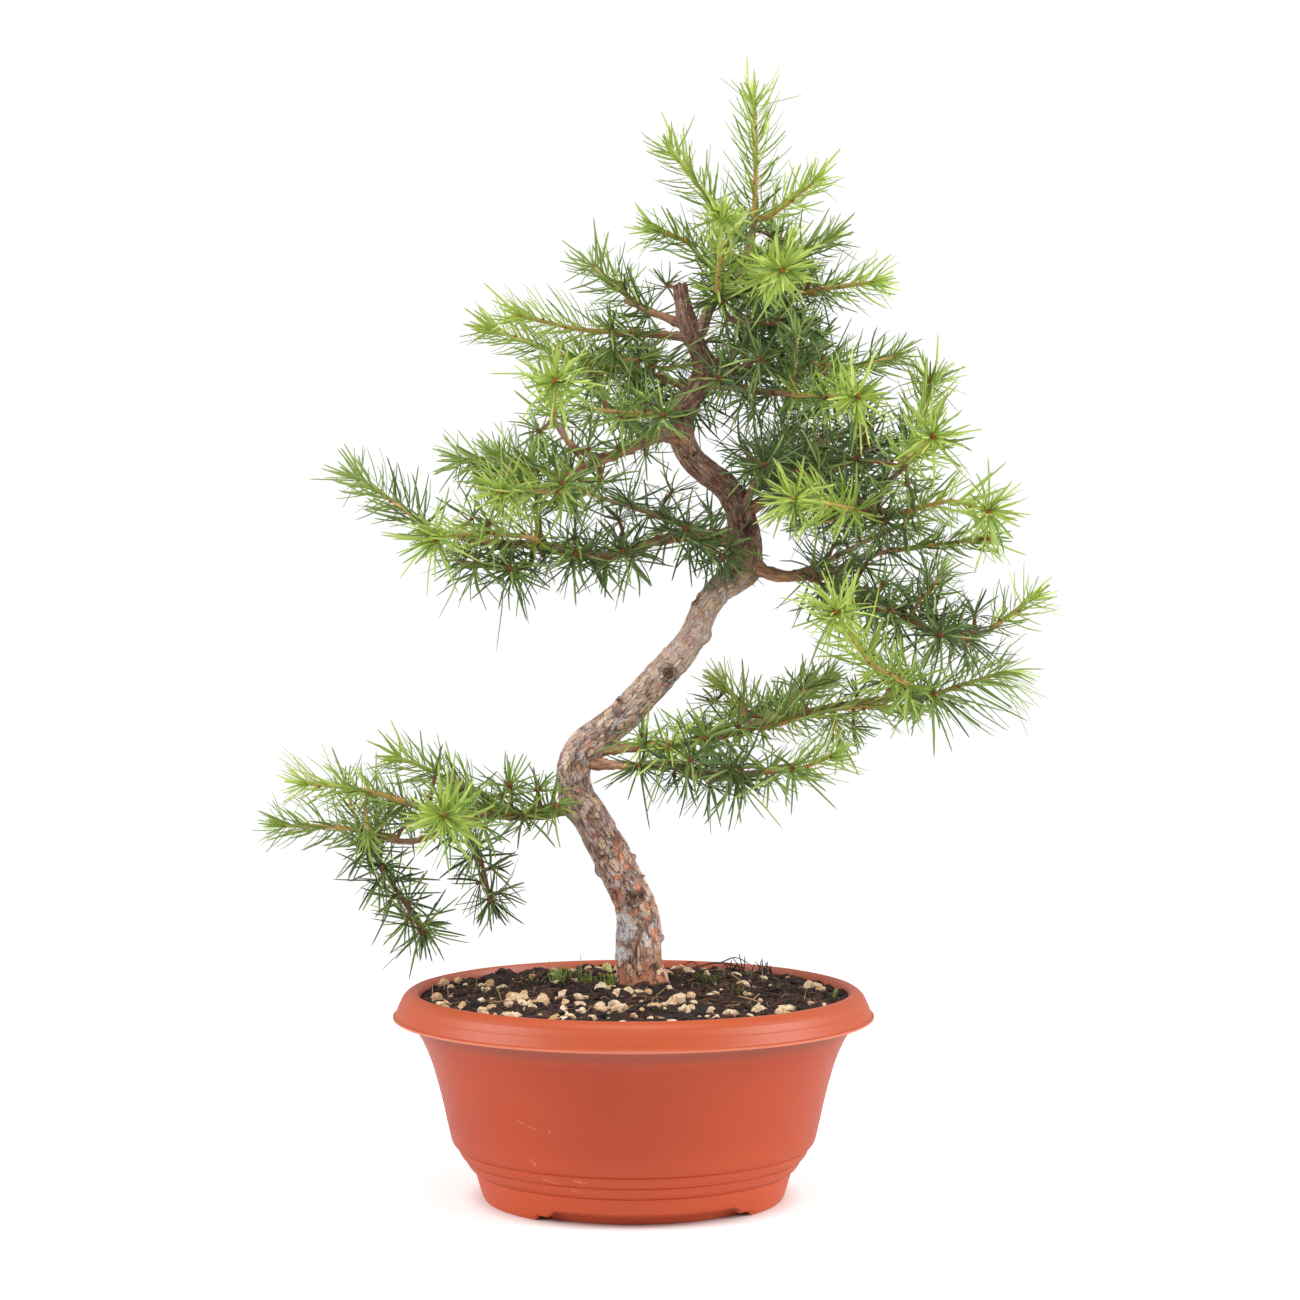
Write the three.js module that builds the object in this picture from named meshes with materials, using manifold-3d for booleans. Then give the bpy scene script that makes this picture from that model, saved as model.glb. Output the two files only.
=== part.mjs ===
// Larch bonsai in a round plastic training bowl. Millimetres, +Z up.
// The pot's axis is upright, and the front of the tree looks towards -Y.
// Origin: middle of the model's footprint, on the surface that the pot stands on.

import * as THREE from "three";
import { mergeVertices } from "three/addons/utils/BufferGeometryUtils.js";
import Module from "manifold-3d";

const wasm = await Module();
wasm.setup();

// ---------------------------------------------------------------- driving dimensions

const LIP_RADIUS = 120;
const RIM_HEIGHT = 103.6;
const CREST_RADIUS = 110.2;
const FOOT_RADIUS = 74.8;
const FOOT_WALL = 2.4;
const FOOT_ARCH_HEIGHT = 6.2;
const INNER_RING_RADIUS = 68.4;
const BASE_UNDERSIDE = 4.5;
const BASE_THICKNESS = 2.6;
const POT_SIDES = 36;
const DRAIN_RADIUS = 5;
const DRAIN_CIRCLE_RADIUS = 38;
const DRAIN_COUNT = 4;

const SEAT_GAP = 0.3;
const SOIL_EDGE_HEIGHT = 97;
const SOIL_MOUND_HEIGHT = 104.2;
const SOIL_MOUND_RADIUS = 24;

const TRUNK_SIDES = 9;
const LIMB_SIDES = 6;
const SHOOT_SIDES = 7;
const SHOOT_RINGS = 5;
const SHOOT_END = 6;
const NEEDLE_REACH = 14.5;
const SOIL_STONE_SIZE = 4.2;

// The tree's points are noted as [across, up, back]: where an eye in front of the pot sees them
// against the upright plane through the pot's axis, and how far behind that plane they lie.
const EYE = new THREE.Vector3(8, -1400, 299);

// ---------------------------------------------------------------- materials

const material = (colour, roughness, metalness = 0) =>
  new THREE.MeshStandardMaterial({ color: colour, roughness, metalness });

const POT_PLASTIC = material(0xc95c3e, 0.4);
const SOIL_MIX = material(0x2b211b, 0.95);
const BARK = material(0x84695a, 0.85);
const FRESH_NEEDLES = material(0x8fc04a, 0.55);
const NEEDLES = material(0x5f9340, 0.55);
const SHADED_NEEDLES = material(0x3d6135, 0.6);
const PUMICE = material(0xcdb491, 0.9);
const MOSS = material(0x647f2c, 0.95);

// ---------------------------------------------------------------- solids from shapes

const WELD = 1e-4;

/** A closed solid from a three.js geometry. */
function solidOf(geometry) {
  const bare = geometry.clone();
  bare.deleteAttribute("normal");
  bare.deleteAttribute("uv");
  const merged = mergeVertices(bare, WELD);
  const corners = merged.index.array;
  const kept = [];
  for (let i = 0; i < corners.length; i += 3) {
    const [a, b, c] = [corners[i], corners[i + 1], corners[i + 2]];
    if (a !== b && b !== c && c !== a) {
      kept.push(a, b, c);
    }
  }
  return solidFrom(merged.attributes.position.array, kept);
}

function solidFrom(vertices, triangles) {
  return new wasm.Manifold(
    new wasm.Mesh({
      numProp: 3,
      vertProperties: Float32Array.from(vertices),
      triVerts: Uint32Array.from(triangles),
    }),
  );
}

function meshOf(name, solid, finish) {
  const { vertProperties, triVerts } = solid.getMesh();
  const geometry = new THREE.BufferGeometry();
  geometry.setAttribute("position", new THREE.BufferAttribute(vertProperties, 3));
  geometry.setIndex(new THREE.BufferAttribute(triVerts, 1));
  geometry.computeVertexNormals();
  const mesh = new THREE.Mesh(geometry, finish);
  mesh.name = name;
  return mesh;
}

/** The largest of the separate bodies that a cut leaves. */
function largestBody(solid) {
  const bodies = solid.decompose();
  return bodies.reduce((best, body) => (body.volume() > best.volume() ? body : best));
}

/** A point of the tree from its [across, up, back] note. */
function place([across, up, back]) {
  const seen = new THREE.Vector3(across, 0, up);
  return seen.sub(EYE).multiplyScalar(1 - back / EYE.y).add(EYE);
}

/**
 * A closed round-section sweep through points. radiusAt gives the radius from 0 at the first
 * point to 1 at the last, and each end closes in a low cone.
 */
function sweep(points, radiusAt, rings, sides, endDepth) {
  const path = new THREE.CatmullRomCurve3(points, false, "centripetal");
  const vertices = [];
  const triangles = [];
  let side = new THREE.Vector3(0.31, 0.86, 0.41);
  for (let ring = 0; ring < rings; ring += 1) {
    const along = ring / (rings - 1);
    const centre = path.getPoint(along);
    const heading = path.getTangent(along);
    side = side.addScaledVector(heading, -side.dot(heading)).normalize();
    const other = heading.clone().cross(side);
    for (let corner = 0; corner < sides; corner += 1) {
      const angle = (2 * Math.PI * corner) / sides;
      const rim = centre
        .clone()
        .addScaledVector(side, radiusAt(along) * Math.cos(angle))
        .addScaledVector(other, radiusAt(along) * Math.sin(angle));
      vertices.push(rim.x, rim.y, rim.z);
    }
  }
  const startPole = rings * sides;
  const endPole = startPole + 1;
  const start = path.getPoint(0).addScaledVector(path.getTangent(0), -endDepth);
  const end = path.getPoint(1).addScaledVector(path.getTangent(1), endDepth);
  vertices.push(start.x, start.y, start.z, end.x, end.y, end.z);
  for (let corner = 0; corner < sides; corner += 1) {
    const next = (corner + 1) % sides;
    for (let ring = 0; ring < rings - 1; ring += 1) {
      const low = ring * sides;
      const high = low + sides;
      triangles.push(low + corner, low + next, high + next);
      triangles.push(low + corner, high + next, high + corner);
    }
    const last = (rings - 1) * sides;
    triangles.push(startPole, next, corner);
    triangles.push(endPole, last + corner, last + next);
  }
  return solidFrom(vertices, triangles);
}

/** Radius along a limb whose points each carry their own radius. */
function steppedRadius(radii) {
  return (along) => {
    const position = along * (radii.length - 1);
    const index = Math.min(Math.floor(position), radii.length - 2);
    return THREE.MathUtils.lerp(radii[index], radii[index + 1], position - index);
  };
}

/** A lump with flat facets, half sunk where it lies. */
function lump(centre, size, flatness, detail) {
  const shape = new THREE.IcosahedronGeometry(size, detail);
  shape.scale(1, 0.86, flatness);
  shape.rotateZ(centre.x + centre.y);
  shape.translate(centre.x, centre.y, centre.z);
  return solidOf(shape);
}

// ---------------------------------------------------------------- pot

const potOutside = [
  [FOOT_RADIUS, 0],
  [77.4, 9.2],
  [79.8, 13.9],
  [80.8, 14.6],
  [84.4, 20.9],
  [85.3, 21.7],
  [87.8, 26.2],
  [88.8, 27.1],
  [91.2, 30.8],
  [95.1, 48],
  [102.8, 74],
  [107.4, 84],
  [109.8, 100.4],
];

const rim = [
  [113.6, 97.6],
  [118.5, 90.6],
  [LIP_RADIUS, 90.6],
  [LIP_RADIUS, 92.2],
  [116.6, 98.6],
  [113.4, 102.4],
  [CREST_RADIUS, RIM_HEIGHT],
  [108.1, 102.6],
];

const potInside = [
  [107.4, 98],
  [105, 84],
  [100.4, 74],
  [92.7, 48],
  [88.9, 31.6],
  [85.6, 26.6],
  [81.8, 21],
  [77.4, 14.2],
  [75, 9.8],
  [73, BASE_UNDERSIDE + BASE_THICKNESS],
];

const potUnderside = [
  [INNER_RING_RADIUS - FOOT_WALL / 2, BASE_UNDERSIDE],
  [INNER_RING_RADIUS - 0.8, 0.6],
  [INNER_RING_RADIUS + 0.8, 0.6],
  [INNER_RING_RADIUS + FOOT_WALL / 2, BASE_UNDERSIDE + 0.4],
  [FOOT_RADIUS - FOOT_WALL - 0.6, BASE_UNDERSIDE + 0.4],
  [FOOT_RADIUS - FOOT_WALL, 0],
];

const toVectors = (pairs) => pairs.map(([radius, height]) => new THREE.Vector2(radius, height));

/** A solid of revolution about the pot's axis. */
function turned(profile) {
  const lathe = new THREE.LatheGeometry(profile, POT_SIDES);
  lathe.rotateX(Math.PI / 2);
  return solidOf(lathe);
}

/** A sector of a ring, from one angle to another in degrees counted from the front. */
function ringSector(inner, outer, fromDegrees, toDegrees, low, high) {
  const front = -90;
  const from = THREE.MathUtils.degToRad(front + fromDegrees);
  const to = THREE.MathUtils.degToRad(front + toDegrees);
  const outline = new THREE.Shape();
  outline.absarc(0, 0, outer, from, to, false);
  outline.absarc(0, 0, inner, to, from, true);
  const block = new THREE.ExtrudeGeometry(outline, {
    depth: high - low,
    bevelEnabled: false,
    curveSegments: 10,
  });
  block.translate(0, 0, low);
  return solidOf(block);
}

// The arched cut-outs of the foot skirt, in degrees from the front, and their stepped corners.
const ARCH_FROM = -39;
const ARCH_TO = 50;
const ARCH_STEP = 6.5;
const ARCH_STEP_HEIGHT = 2.6;

function makePot() {
  const profile = [
    [0, BASE_UNDERSIDE],
    ...potUnderside,
    ...potOutside,
    ...rim,
    ...potInside,
    [0, BASE_UNDERSIDE + BASE_THICKNESS],
  ];
  let pot = turned(toVectors(profile));
  const inner = FOOT_RADIUS - FOOT_WALL - 0.5;
  const outer = FOOT_RADIUS + 5;
  for (const turn of [0, 180]) {
    const mouth = ringSector(inner, outer, ARCH_FROM + turn, ARCH_TO + turn, -1, ARCH_STEP_HEIGHT);
    const crown = ringSector(
      inner,
      outer,
      ARCH_FROM + ARCH_STEP + turn,
      ARCH_TO - ARCH_STEP + turn,
      -1,
      FOOT_ARCH_HEIGHT,
    );
    pot = pot.subtract(mouth).subtract(crown);
  }
  for (let hole = 0; hole < DRAIN_COUNT; hole += 1) {
    const angle = (2 * Math.PI * (hole + 0.5)) / DRAIN_COUNT;
    const drill = new THREE.CylinderGeometry(DRAIN_RADIUS, DRAIN_RADIUS, 4 * BASE_THICKNESS, 10);
    drill.rotateX(Math.PI / 2);
    drill.translate(
      DRAIN_CIRCLE_RADIUS * Math.cos(angle),
      DRAIN_CIRCLE_RADIUS * Math.sin(angle),
      BASE_UNDERSIDE,
    );
    pot = pot.subtract(solidOf(drill));
  }
  return pot;
}

// ---------------------------------------------------------------- soil and what lies on it

/** Height of the soil at a distance from the pot's axis. */
function soilHeight(radius) {
  const edge = potInside[0][0];
  const fall = THREE.MathUtils.smoothstep(radius, SOIL_MOUND_RADIUS, edge);
  return THREE.MathUtils.lerp(SOIL_MOUND_HEIGHT, SOIL_EDGE_HEIGHT, fall);
}

function makeSoil() {
  const wall = potInside.slice(1).map(([radius, height]) => [radius - SEAT_GAP * 1.3, height]);
  wall[wall.length - 1][1] += SEAT_GAP;
  const floor = wall[wall.length - 1][1];
  const edge = potInside[0][0] - SEAT_GAP * 1.6;
  const surface = [0, SOIL_MOUND_RADIUS, 50, 76, 94].map((radius) => [radius, soilHeight(radius)]);
  const profile = [[0, floor], ...wall.reverse(), [edge, SOIL_EDGE_HEIGHT], ...surface.reverse()];
  return turned(toVectors(profile));
}

// Where the largest grains and the moss tufts lie: degrees from the front, distance from the axis.
const STONES = [
  [-34, 62, 1],
  [22, 68, 0.95],
  [-96, 40, 1.15],
];
const MOSS_TUFTS = [
  [-52, 46, 8],
  [62, 44, 9],
];

function onSoil([degrees, radius], lift = 0) {
  const angle = THREE.MathUtils.degToRad(degrees - 90);
  return new THREE.Vector3(
    radius * Math.cos(angle),
    radius * Math.sin(angle),
    soilHeight(radius) + lift,
  );
}

// ---------------------------------------------------------------- wood

// Each entry of a limb is [across, up, back, radius].
const TRUNK = [
  [5, 84, 17, 15.5],
  [4, 104, 15, 13.2],
  [3, 113, 15, 11.8],
  [1, 143, 14, 10.6],
  [-8, 164, 12, 9.6],
  [-19, 185, 10, 8.8],
  [-28, 200, 8, 8.6],
  [-30, 212, 7, 8.6],
  [-26, 222, 6, 8.5],
  [-5, 240, 3, 8.2],
  [13, 260, 0, 7.8],
  [28, 277, -2, 7.2],
  [36, 294, -2, 6.8],
  [43, 303, -1, 6.6],
  [54, 313, 0, 8.6],
  [56, 327, 1, 7.6],
  [52, 343, 2, 6.6],
  [46, 354, 3, 6.4],
  [37, 361, 3, 6.2],
  [28, 370, 3, 6],
  [24, 380, 2, 5.8],
  [24, 392, 1, 5.6],
  [29, 400, 0, 5.4],
  [34, 409, 0, 5.2],
  [34, 418, 0, 4.8],
  [30, 428, -1, 4.6],
  [26, 439, -2, 4.2],
  [23, 455, -3, 2.6],
];

const LIMBS = [
  // towards the apex
  [[33, 431, -1, 3.6], [38, 443, -6, 3], [43, 450, -8, 2.8], [56, 468, -6, 2.6], [60, 488, -3, 2.2]],
  // top of the crown, to the right
  [[40, 448, -8, 2.6], [62, 452, -11, 2.2], [88, 452, -14, 1.7]],
  // upper left
  [[28, 434, -1, 3], [12, 440, 8, 2.4], [-4, 447, 21, 1.8]],
  [[30, 428, -1, 2.8], [10, 430, -7, 2.3], [-12, 430, -13, 1.7]],
  [[31, 402, 0, 2.8], [12, 409, 13, 2.4], [-14, 413, 25, 1.8]],
  // the curled branch to the middle left and its riser
  [
    [25, 377, 3, 3.6],
    [15, 380, -11, 3.2],
    [2, 375, -21, 2.8],
    [-10, 370, -28, 2.5],
    [-24, 364, -34, 2.2],
    [-42, 355, -46, 1.8],
  ],
  [[-14, 368, -29, 2.2], [-30, 374, -48, 2], [-40, 388, -67, 1.7]],
  // the long branch to the left
  [
    [52, 330, 1, 4.4],
    [40, 330, -8, 3.8],
    [14, 328, -17, 3.4],
    [-13, 320, -22, 3],
    [-44, 325, -28, 2.6],
    [-75, 327, -34, 2.2],
    [-106, 334, -17, 1.7],
  ],
  // crown branches to the right
  [[53, 341, 3, 3.8], [74, 350, -11, 3.2], [100, 352, -22, 2.8], [124, 342, -34, 2.4], [140, 342, -36, 1.8]],
  [[120, 345, -32, 2.2], [129, 358, -36, 1.9], [138, 368, -53, 1.6]],
  [[31, 406, 0, 3], [54, 403, -11, 2.5], [80, 400, -28, 1.8]],
  [[34, 417, 0, 3], [60, 412, 8, 2.6], [95, 411, 20, 1.8]],
  // the lowest branch of the crown, to the right
  [
    [56, 316, 0, 4.6],
    [72, 310, -6, 3.8],
    [94, 310, -11, 3.2],
    [112, 303, -13, 2.8],
    [132, 292, -11, 2.6],
    [153, 281, -8, 2.2],
    [178, 282, -7, 1.6],
  ],
  // the two limbs to the lower right
  [
    [-22, 221, 6, 3.6],
    [0, 222, -8, 3.2],
    [22, 226, -17, 3],
    [52, 232, -17, 2.6],
    [74, 239, -11, 2.4],
    [108, 246, -11, 2.1],
    [150, 251, -8, 1.5],
  ],
  [[-20, 219, 3, 3.4], [0, 218, -17, 3], [20, 215, -28, 2.6], [48, 210, -36, 2.3], [78, 215, -48, 1.8]],
  // the branch to the lower left
  [
    [-28, 196, 11, 4.2],
    [-44, 191, 0, 3.6],
    [-62, 190, -10, 3.1],
    [-84, 192, -17, 2.6],
    [-104, 194, -18, 2.2],
    [-122, 199, -20, 1.7],
  ],
  [[-78, 192, -15, 2.4], [-96, 182, -8, 2.1], [-114, 177, -3, 1.9], [-136, 183, -4, 1.6]],
  // short side branches that carry the outer shoots
  [[56, 345, 0, 2.4], [60, 356, -17, 1.9], [66, 366, -28, 1.5]],
  [[24, 392, 0, 2.4], [14, 391, -20, 1.8], [2, 391, -28, 1.5]],
  [[126, 249, -10, 1.9], [128, 256, -26, 1.6], [120, 266, -48, 1.4]],
  [[-70, 191, -13, 2.2], [-84, 190, -34, 1.9], [-90, 190, -50, 1.6]],
  [[-128, 180, -4, 1.6], [-130, 172, 3, 1.4], [-126, 164, 8, 1.3]],
  [[-82, 191, -15, 1.6], [-84, 182, -3, 1.4], [-82, 176, 3, 1.3]],
  [[-62, 191, -10, 2], [-76, 201, 6, 1.7], [-90, 208, 14, 1.4]],
  [[58, 233, -15, 1.6], [57, 238, -3, 1.4], [55, 244, 6, 1.3]],
  [[120, 345, -31, 2], [112, 342, -50, 1.7], [100, 345, -70, 1.4]],
  [[96, 310, -11, 2.2], [112, 318, -6, 1.8], [130, 323, -3, 1.5]],
  [[129, 358, -36, 1.6], [134, 368, -25, 1.4], [138, 378, -11, 1.3]],
  [[56, 466, -6, 1.8], [66, 464, 3, 1.5], [76, 465, 11, 1.3]],
  // the branches behind the crown
  [[28, 396, 3, 3], [36, 402, 34, 2.4], [46, 412, 70, 1.8]],
  [[50, 347, 6, 3.2], [66, 356, 36, 2.6], [84, 368, 73, 1.8]],
  [[54, 322, 4, 3.4], [34, 332, 36, 2.8], [8, 341, 70, 1.9]],
  [[50, 460, -7, 2], [54, 456, 14, 1.7], [60, 458, 36, 1.4]],
  [[80, 310, -8, 2.6], [94, 316, 17, 2.1], [108, 323, 42, 1.6]],
  [[36, 228, -17, 2], [46, 234, 11, 1.8], [60, 242, 34, 1.5]],
];

// Cut scars and short stubs on the trunk: [across, up, back, size].
const KNOTS = [
  [17, 261, -6, 3.4],
  [2, 150, 5, 4.4],
  [-1, 169, 11, 3.2],
  [36, 280, -3, 2.6],
  [17, 273, -3, 3.2],
  [-12, 176, 2, 3],
  [48, 309, -7, 4],
];

function limbSolid(entries, sides, grow = 0) {
  const points = entries.map(([across, up, back]) => place([across, up, back]));
  const radii = entries.map((entry) => entry[3] + grow);
  return sweep(points, steppedRadius(radii), entries.length, sides, 0.5 * radii.at(-1) + grow);
}

function woodSolid(grow = 0) {
  let wood = limbSolid(TRUNK, TRUNK_SIDES, grow);
  for (const limb of LIMBS) {
    wood = wood.add(limbSolid(limb, LIMB_SIDES, grow));
  }
  for (const [across, up, back, size] of KNOTS) {
    const bump = new THREE.IcosahedronGeometry(size + grow, 0);
    const centre = place([across, up, back]);
    bump.translate(centre.x, centre.y, centre.z);
    wood = wood.add(solidOf(bump));
  }
  return wood;
}

// ---------------------------------------------------------------- needle-bearing shoots

// Each stem's points are [across, up, back], from its foot to its tip.
const SHOOTS = [
  ["apex_leader", FRESH_NEEDLES, [[60, 486, -3], [61, 520, -7], [60, 552, -8]]],
  ["top_right", FRESH_NEEDLES, [[68, 487, -8], [84, 497, -20], [100, 509, -31]]],
  ["top_left", FRESH_NEEDLES, [[46, 486, 4], [32, 504, 10], [17, 524, 11]]],
  ["front_upright", FRESH_NEEDLES, [[42, 452, -22], [43, 470, -39], [44, 486, -50]]],
  ["upper_left_short", NEEDLES, [[38, 464, 8], [25, 477, 3], [12, 481, -6]]],
  ["crown_eye", FRESH_NEEDLES, [[62, 457, -28], [70, 461, -56], [74, 462, -78]]],
  ["upper_right", NEEDLES, [[72, 462, 8], [88, 472, 17], [100, 478, 20]]],
  ["right_reach", FRESH_NEEDLES, [[84, 451, -13], [104, 454, -20], [122, 457, -25]]],
  ["left_a", NEEDLES, [[10, 440, 11], [-4, 450, 22], [-24, 467, 34]]],
  ["left_b", FRESH_NEEDLES, [[4, 431, -8], [-22, 432, -15], [-60, 441, -22]]],
  ["left_c", FRESH_NEEDLES, [[-2, 412, 20], [-32, 419, 34], [-76, 434, 48]]],
  ["left_eye", FRESH_NEEDLES, [[-40, 390, -70], [-39, 402, -92], [-39, 407, -115]]],
  ["left_low", NEEDLES, [[14, 390, -31], [-4, 391, -39], [-22, 393, -48]]],
  ["mid_left_twig", NEEDLES, [[-38, 360, -40], [-62, 366, -18], [-88, 369, 2]]],
  ["mid_left_eye", FRESH_NEEDLES, [[-34, 352, -48], [-52, 352, -56], [-68, 352, -64]]],
  ["long_left_eye", FRESH_NEEDLES, [[-48, 328, -36], [-76, 331, -45], [-100, 328, -56]]],
  ["long_left_far", NEEDLES, [[-104, 334, -14], [-120, 347, -3], [-141, 361, 8]]],
  ["long_left_spurs", SHADED_NEEDLES, [[-52, 315, -26], [-68, 314, -30], [-86, 317, -28]]],
  ["long_left_inner", SHADED_NEEDLES, [[-36, 322, -8], [-16, 318, -20], [0, 322, -28]]],
  ["trunk_front", SHADED_NEEDLES, [[20, 332, -20], [34, 326, -20], [46, 319, -18]]],
  ["right_upper", NEEDLES, [[88, 411, 20], [112, 415, 28], [134, 420, 36]]],
  ["right_middle_eye", FRESH_NEEDLES, [[80, 400, -31], [98, 399, -53], [112, 399, -76]]],
  [
    "right_far_pair",
    FRESH_NEEDLES,
    [[134, 364, -42], [143, 373, -64], [149, 379, -81]],
    [[135, 368, -28], [143, 388, -6], [148, 410, 6]],
  ],
  ["right_front_eye", FRESH_NEEDLES, [[112, 342, -59], [96, 346, -87], [80, 348, -112]]],
  ["right_out_eye", FRESH_NEEDLES, [[138, 342, -39], [158, 347, -53], [177, 342, -67]]],
  ["right_low", NEEDLES, [[126, 322, -3], [148, 325, -3], [176, 329, -8]]],
  ["crown_heart", SHADED_NEEDLES, [[60, 366, -25], [78, 362, -34], [100, 362, -28], [118, 375, -20]]],
  ["crown_inner_top", SHADED_NEEDLES, [[44, 408, -10], [58, 416, -18], [72, 422, -18]]],
  ["crown_upper_fill", SHADED_NEEDLES, [[48, 438, -20], [66, 436, -28], [86, 432, -25]]],
  ["low_crown_inner", SHADED_NEEDLES, [[84, 310, -16], [102, 302, -22], [120, 294, -26]]],
  ["low_crown_spurs", SHADED_NEEDLES, [[134, 290, -20], [152, 281, -20], [168, 278, -17]]],
  ["low_crown_tip", FRESH_NEEDLES, [[178, 283, -8], [190, 292, -11], [200, 300, -14]]],
  ["low_crown_eye", FRESH_NEEDLES, [[138, 255, -39], [118, 267, -70], [101, 292, -109]]],
  ["low_right_foot", FRESH_NEEDLES, [[2, 226, -17], [20, 228, -22], [38, 234, -20]]],
  ["low_right_sub_a", FRESH_NEEDLES, [[57, 236, 6], [54, 246, 14], [44, 257, 20]]],
  [
    "low_right_middle",
    NEEDLES,
    [[64, 234, -17], [100, 243, -14], [138, 245, -8]],
    [[74, 241, -8], [86, 252, 11], [98, 259, 20]],
  ],
  ["low_right_tip", NEEDLES, [[148, 250, 3], [166, 256, -3], [184, 262, -6]]],
  ["low_right_under_a", SHADED_NEEDLES, [[20, 214, -34], [38, 209, -39], [54, 208, -42]]],
  ["low_right_under_b", NEEDLES, [[66, 212, -48], [84, 214, -53], [102, 221, -59]]],
  ["low_left_base", NEEDLES, [[-42, 194, -3], [-56, 192, -11], [-72, 193, -17]]],
  ["low_left_eye", FRESH_NEEDLES, [[-84, 190, -50], [-92, 190, -76], [-95, 190, -98]]],
  ["low_left_upper", FRESH_NEEDLES, [[-80, 203, 11], [-98, 211, 20], [-120, 221, 28]]],
  ["low_left_reach", FRESH_NEEDLES, [[-114, 197, -20], [-136, 203, -25], [-167, 207, -28]]],
  ["low_left_lowest", NEEDLES, [[-118, 179, -3], [-148, 184, -6], [-182, 185, -11]]],
  ["low_left_hang_a", SHADED_NEEDLES, [[-128, 166, 8], [-118, 152, 11], [-108, 132, 11]]],
  ["low_left_hang_b", SHADED_NEEDLES, [[-84, 182, 3], [-76, 166, 8], [-72, 148, 8]]],
  ["back_top", NEEDLES, [[58, 457, 20], [66, 462, 34], [78, 470, 50]]],
  ["back_low_crown", SHADED_NEEDLES, [[104, 321, 26], [118, 328, 42], [136, 336, 62]]],
  ["back_low_right", NEEDLES, [[56, 240, 20], [74, 247, 36], [94, 256, 52]]],
  ["back_upper", SHADED_NEEDLES, [[44, 410, 44], [52, 422, 66], [60, 432, 90]]],
  ["back_right", SHADED_NEEDLES, [[82, 366, 46], [96, 376, 68], [108, 384, 92]]],
  ["back_left", SHADED_NEEDLES, [[12, 340, 46], [-8, 346, 68], [-30, 354, 90]]],
];

/** Fullness of a shoot along its length: slim at the foot, widest past the middle, blunt at the tip. */
function shootRadius(reach) {
  return (along) => {
    const swell = Math.sin(Math.PI * (0.16 + 0.68 * along));
    return reach * (0.24 + 0.76 * swell);
  };
}

function stemSolid(notes, grow) {
  const points = notes.map(place);
  const radiusAt = shootRadius(NEEDLE_REACH + grow);
  return sweep(points, radiusAt, SHOOT_RINGS, SHOOT_SIDES, SHOOT_END + grow);
}

/** The space that one shoot's needles fill, on one stem or on a few that start together. */
function shootSolid(stems, grow = 0) {
  return stems.map((notes) => stemSolid(notes, grow)).reduce((whole, part) => whole.add(part));
}

// ---------------------------------------------------------------- the model

const bonsai = new THREE.Group();

const wood = woodSolid();
const woodClearance = woodSolid(SEAT_GAP);
let soil = makeSoil().subtract(woodClearance);

const surfacePieces = [];
STONES.forEach(([degrees, radius, scale], index) => {
  const size = SOIL_STONE_SIZE * scale;
  const centre = onSoil([degrees, radius], size * 0.2);
  soil = soil.subtract(lump(centre, size + SEAT_GAP, 0.72, 0));
  surfacePieces.push(meshOf(`pumice_${index + 1}`, lump(centre, size, 0.72, 0), PUMICE));
});
MOSS_TUFTS.forEach(([degrees, radius, size], index) => {
  const centre = onSoil([degrees, radius]);
  soil = soil.subtract(lump(centre, size + SEAT_GAP, 0.42, 0));
  surfacePieces.push(meshOf(`moss_${index + 1}`, lump(centre, size, 0.42, 0), MOSS));
});

bonsai.add(meshOf("pot", makePot(), POT_PLASTIC));
bonsai.add(meshOf("soil", largestBody(soil), SOIL_MIX));
bonsai.add(meshOf("trunk_and_branches", wood, BARK));
bonsai.add(...surfacePieces);

let taken = woodClearance;
for (const [name, finish, ...stems] of SHOOTS) {
  const shoot = largestBody(shootSolid(stems).subtract(taken));
  bonsai.add(meshOf(`shoot_${name}`, shoot, finish));
  taken = taken.add(shootSolid(stems, SEAT_GAP));
}

const footprint = new THREE.Box3().setFromObject(bonsai).getCenter(new THREE.Vector3());
bonsai.position.set(-footprint.x, -footprint.y, 0);

export default bonsai;
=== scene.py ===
"""Larch bonsai in a round plastic bowl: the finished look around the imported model, in metres."""

import logging
import math
from contextlib import contextmanager
from dataclasses import dataclass, field
from enum import Enum
from typing import Any, Iterator, Sequence

import bpy
import numpy as np
from bpy.types import Material, NodeSocket, Object
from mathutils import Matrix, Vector, noise


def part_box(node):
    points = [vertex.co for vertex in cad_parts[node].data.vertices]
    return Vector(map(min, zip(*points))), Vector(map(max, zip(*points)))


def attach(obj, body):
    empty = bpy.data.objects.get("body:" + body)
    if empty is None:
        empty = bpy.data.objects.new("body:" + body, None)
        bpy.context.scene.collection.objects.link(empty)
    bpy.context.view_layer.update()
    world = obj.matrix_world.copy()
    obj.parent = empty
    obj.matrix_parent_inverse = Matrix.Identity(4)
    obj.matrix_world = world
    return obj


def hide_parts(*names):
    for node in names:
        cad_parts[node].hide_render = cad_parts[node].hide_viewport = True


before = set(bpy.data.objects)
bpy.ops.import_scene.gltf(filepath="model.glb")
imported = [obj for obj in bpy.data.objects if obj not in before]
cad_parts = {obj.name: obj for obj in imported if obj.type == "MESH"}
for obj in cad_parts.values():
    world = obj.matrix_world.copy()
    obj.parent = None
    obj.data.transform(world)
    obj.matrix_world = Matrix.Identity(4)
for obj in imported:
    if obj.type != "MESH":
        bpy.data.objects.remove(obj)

LOG = logging.getLogger("larch_bonsai")
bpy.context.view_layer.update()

MM = 0.001
GOLDEN_ANGLE = math.radians(137.508)
UP = np.array([0.0, 0.0, 1.0])
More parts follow.
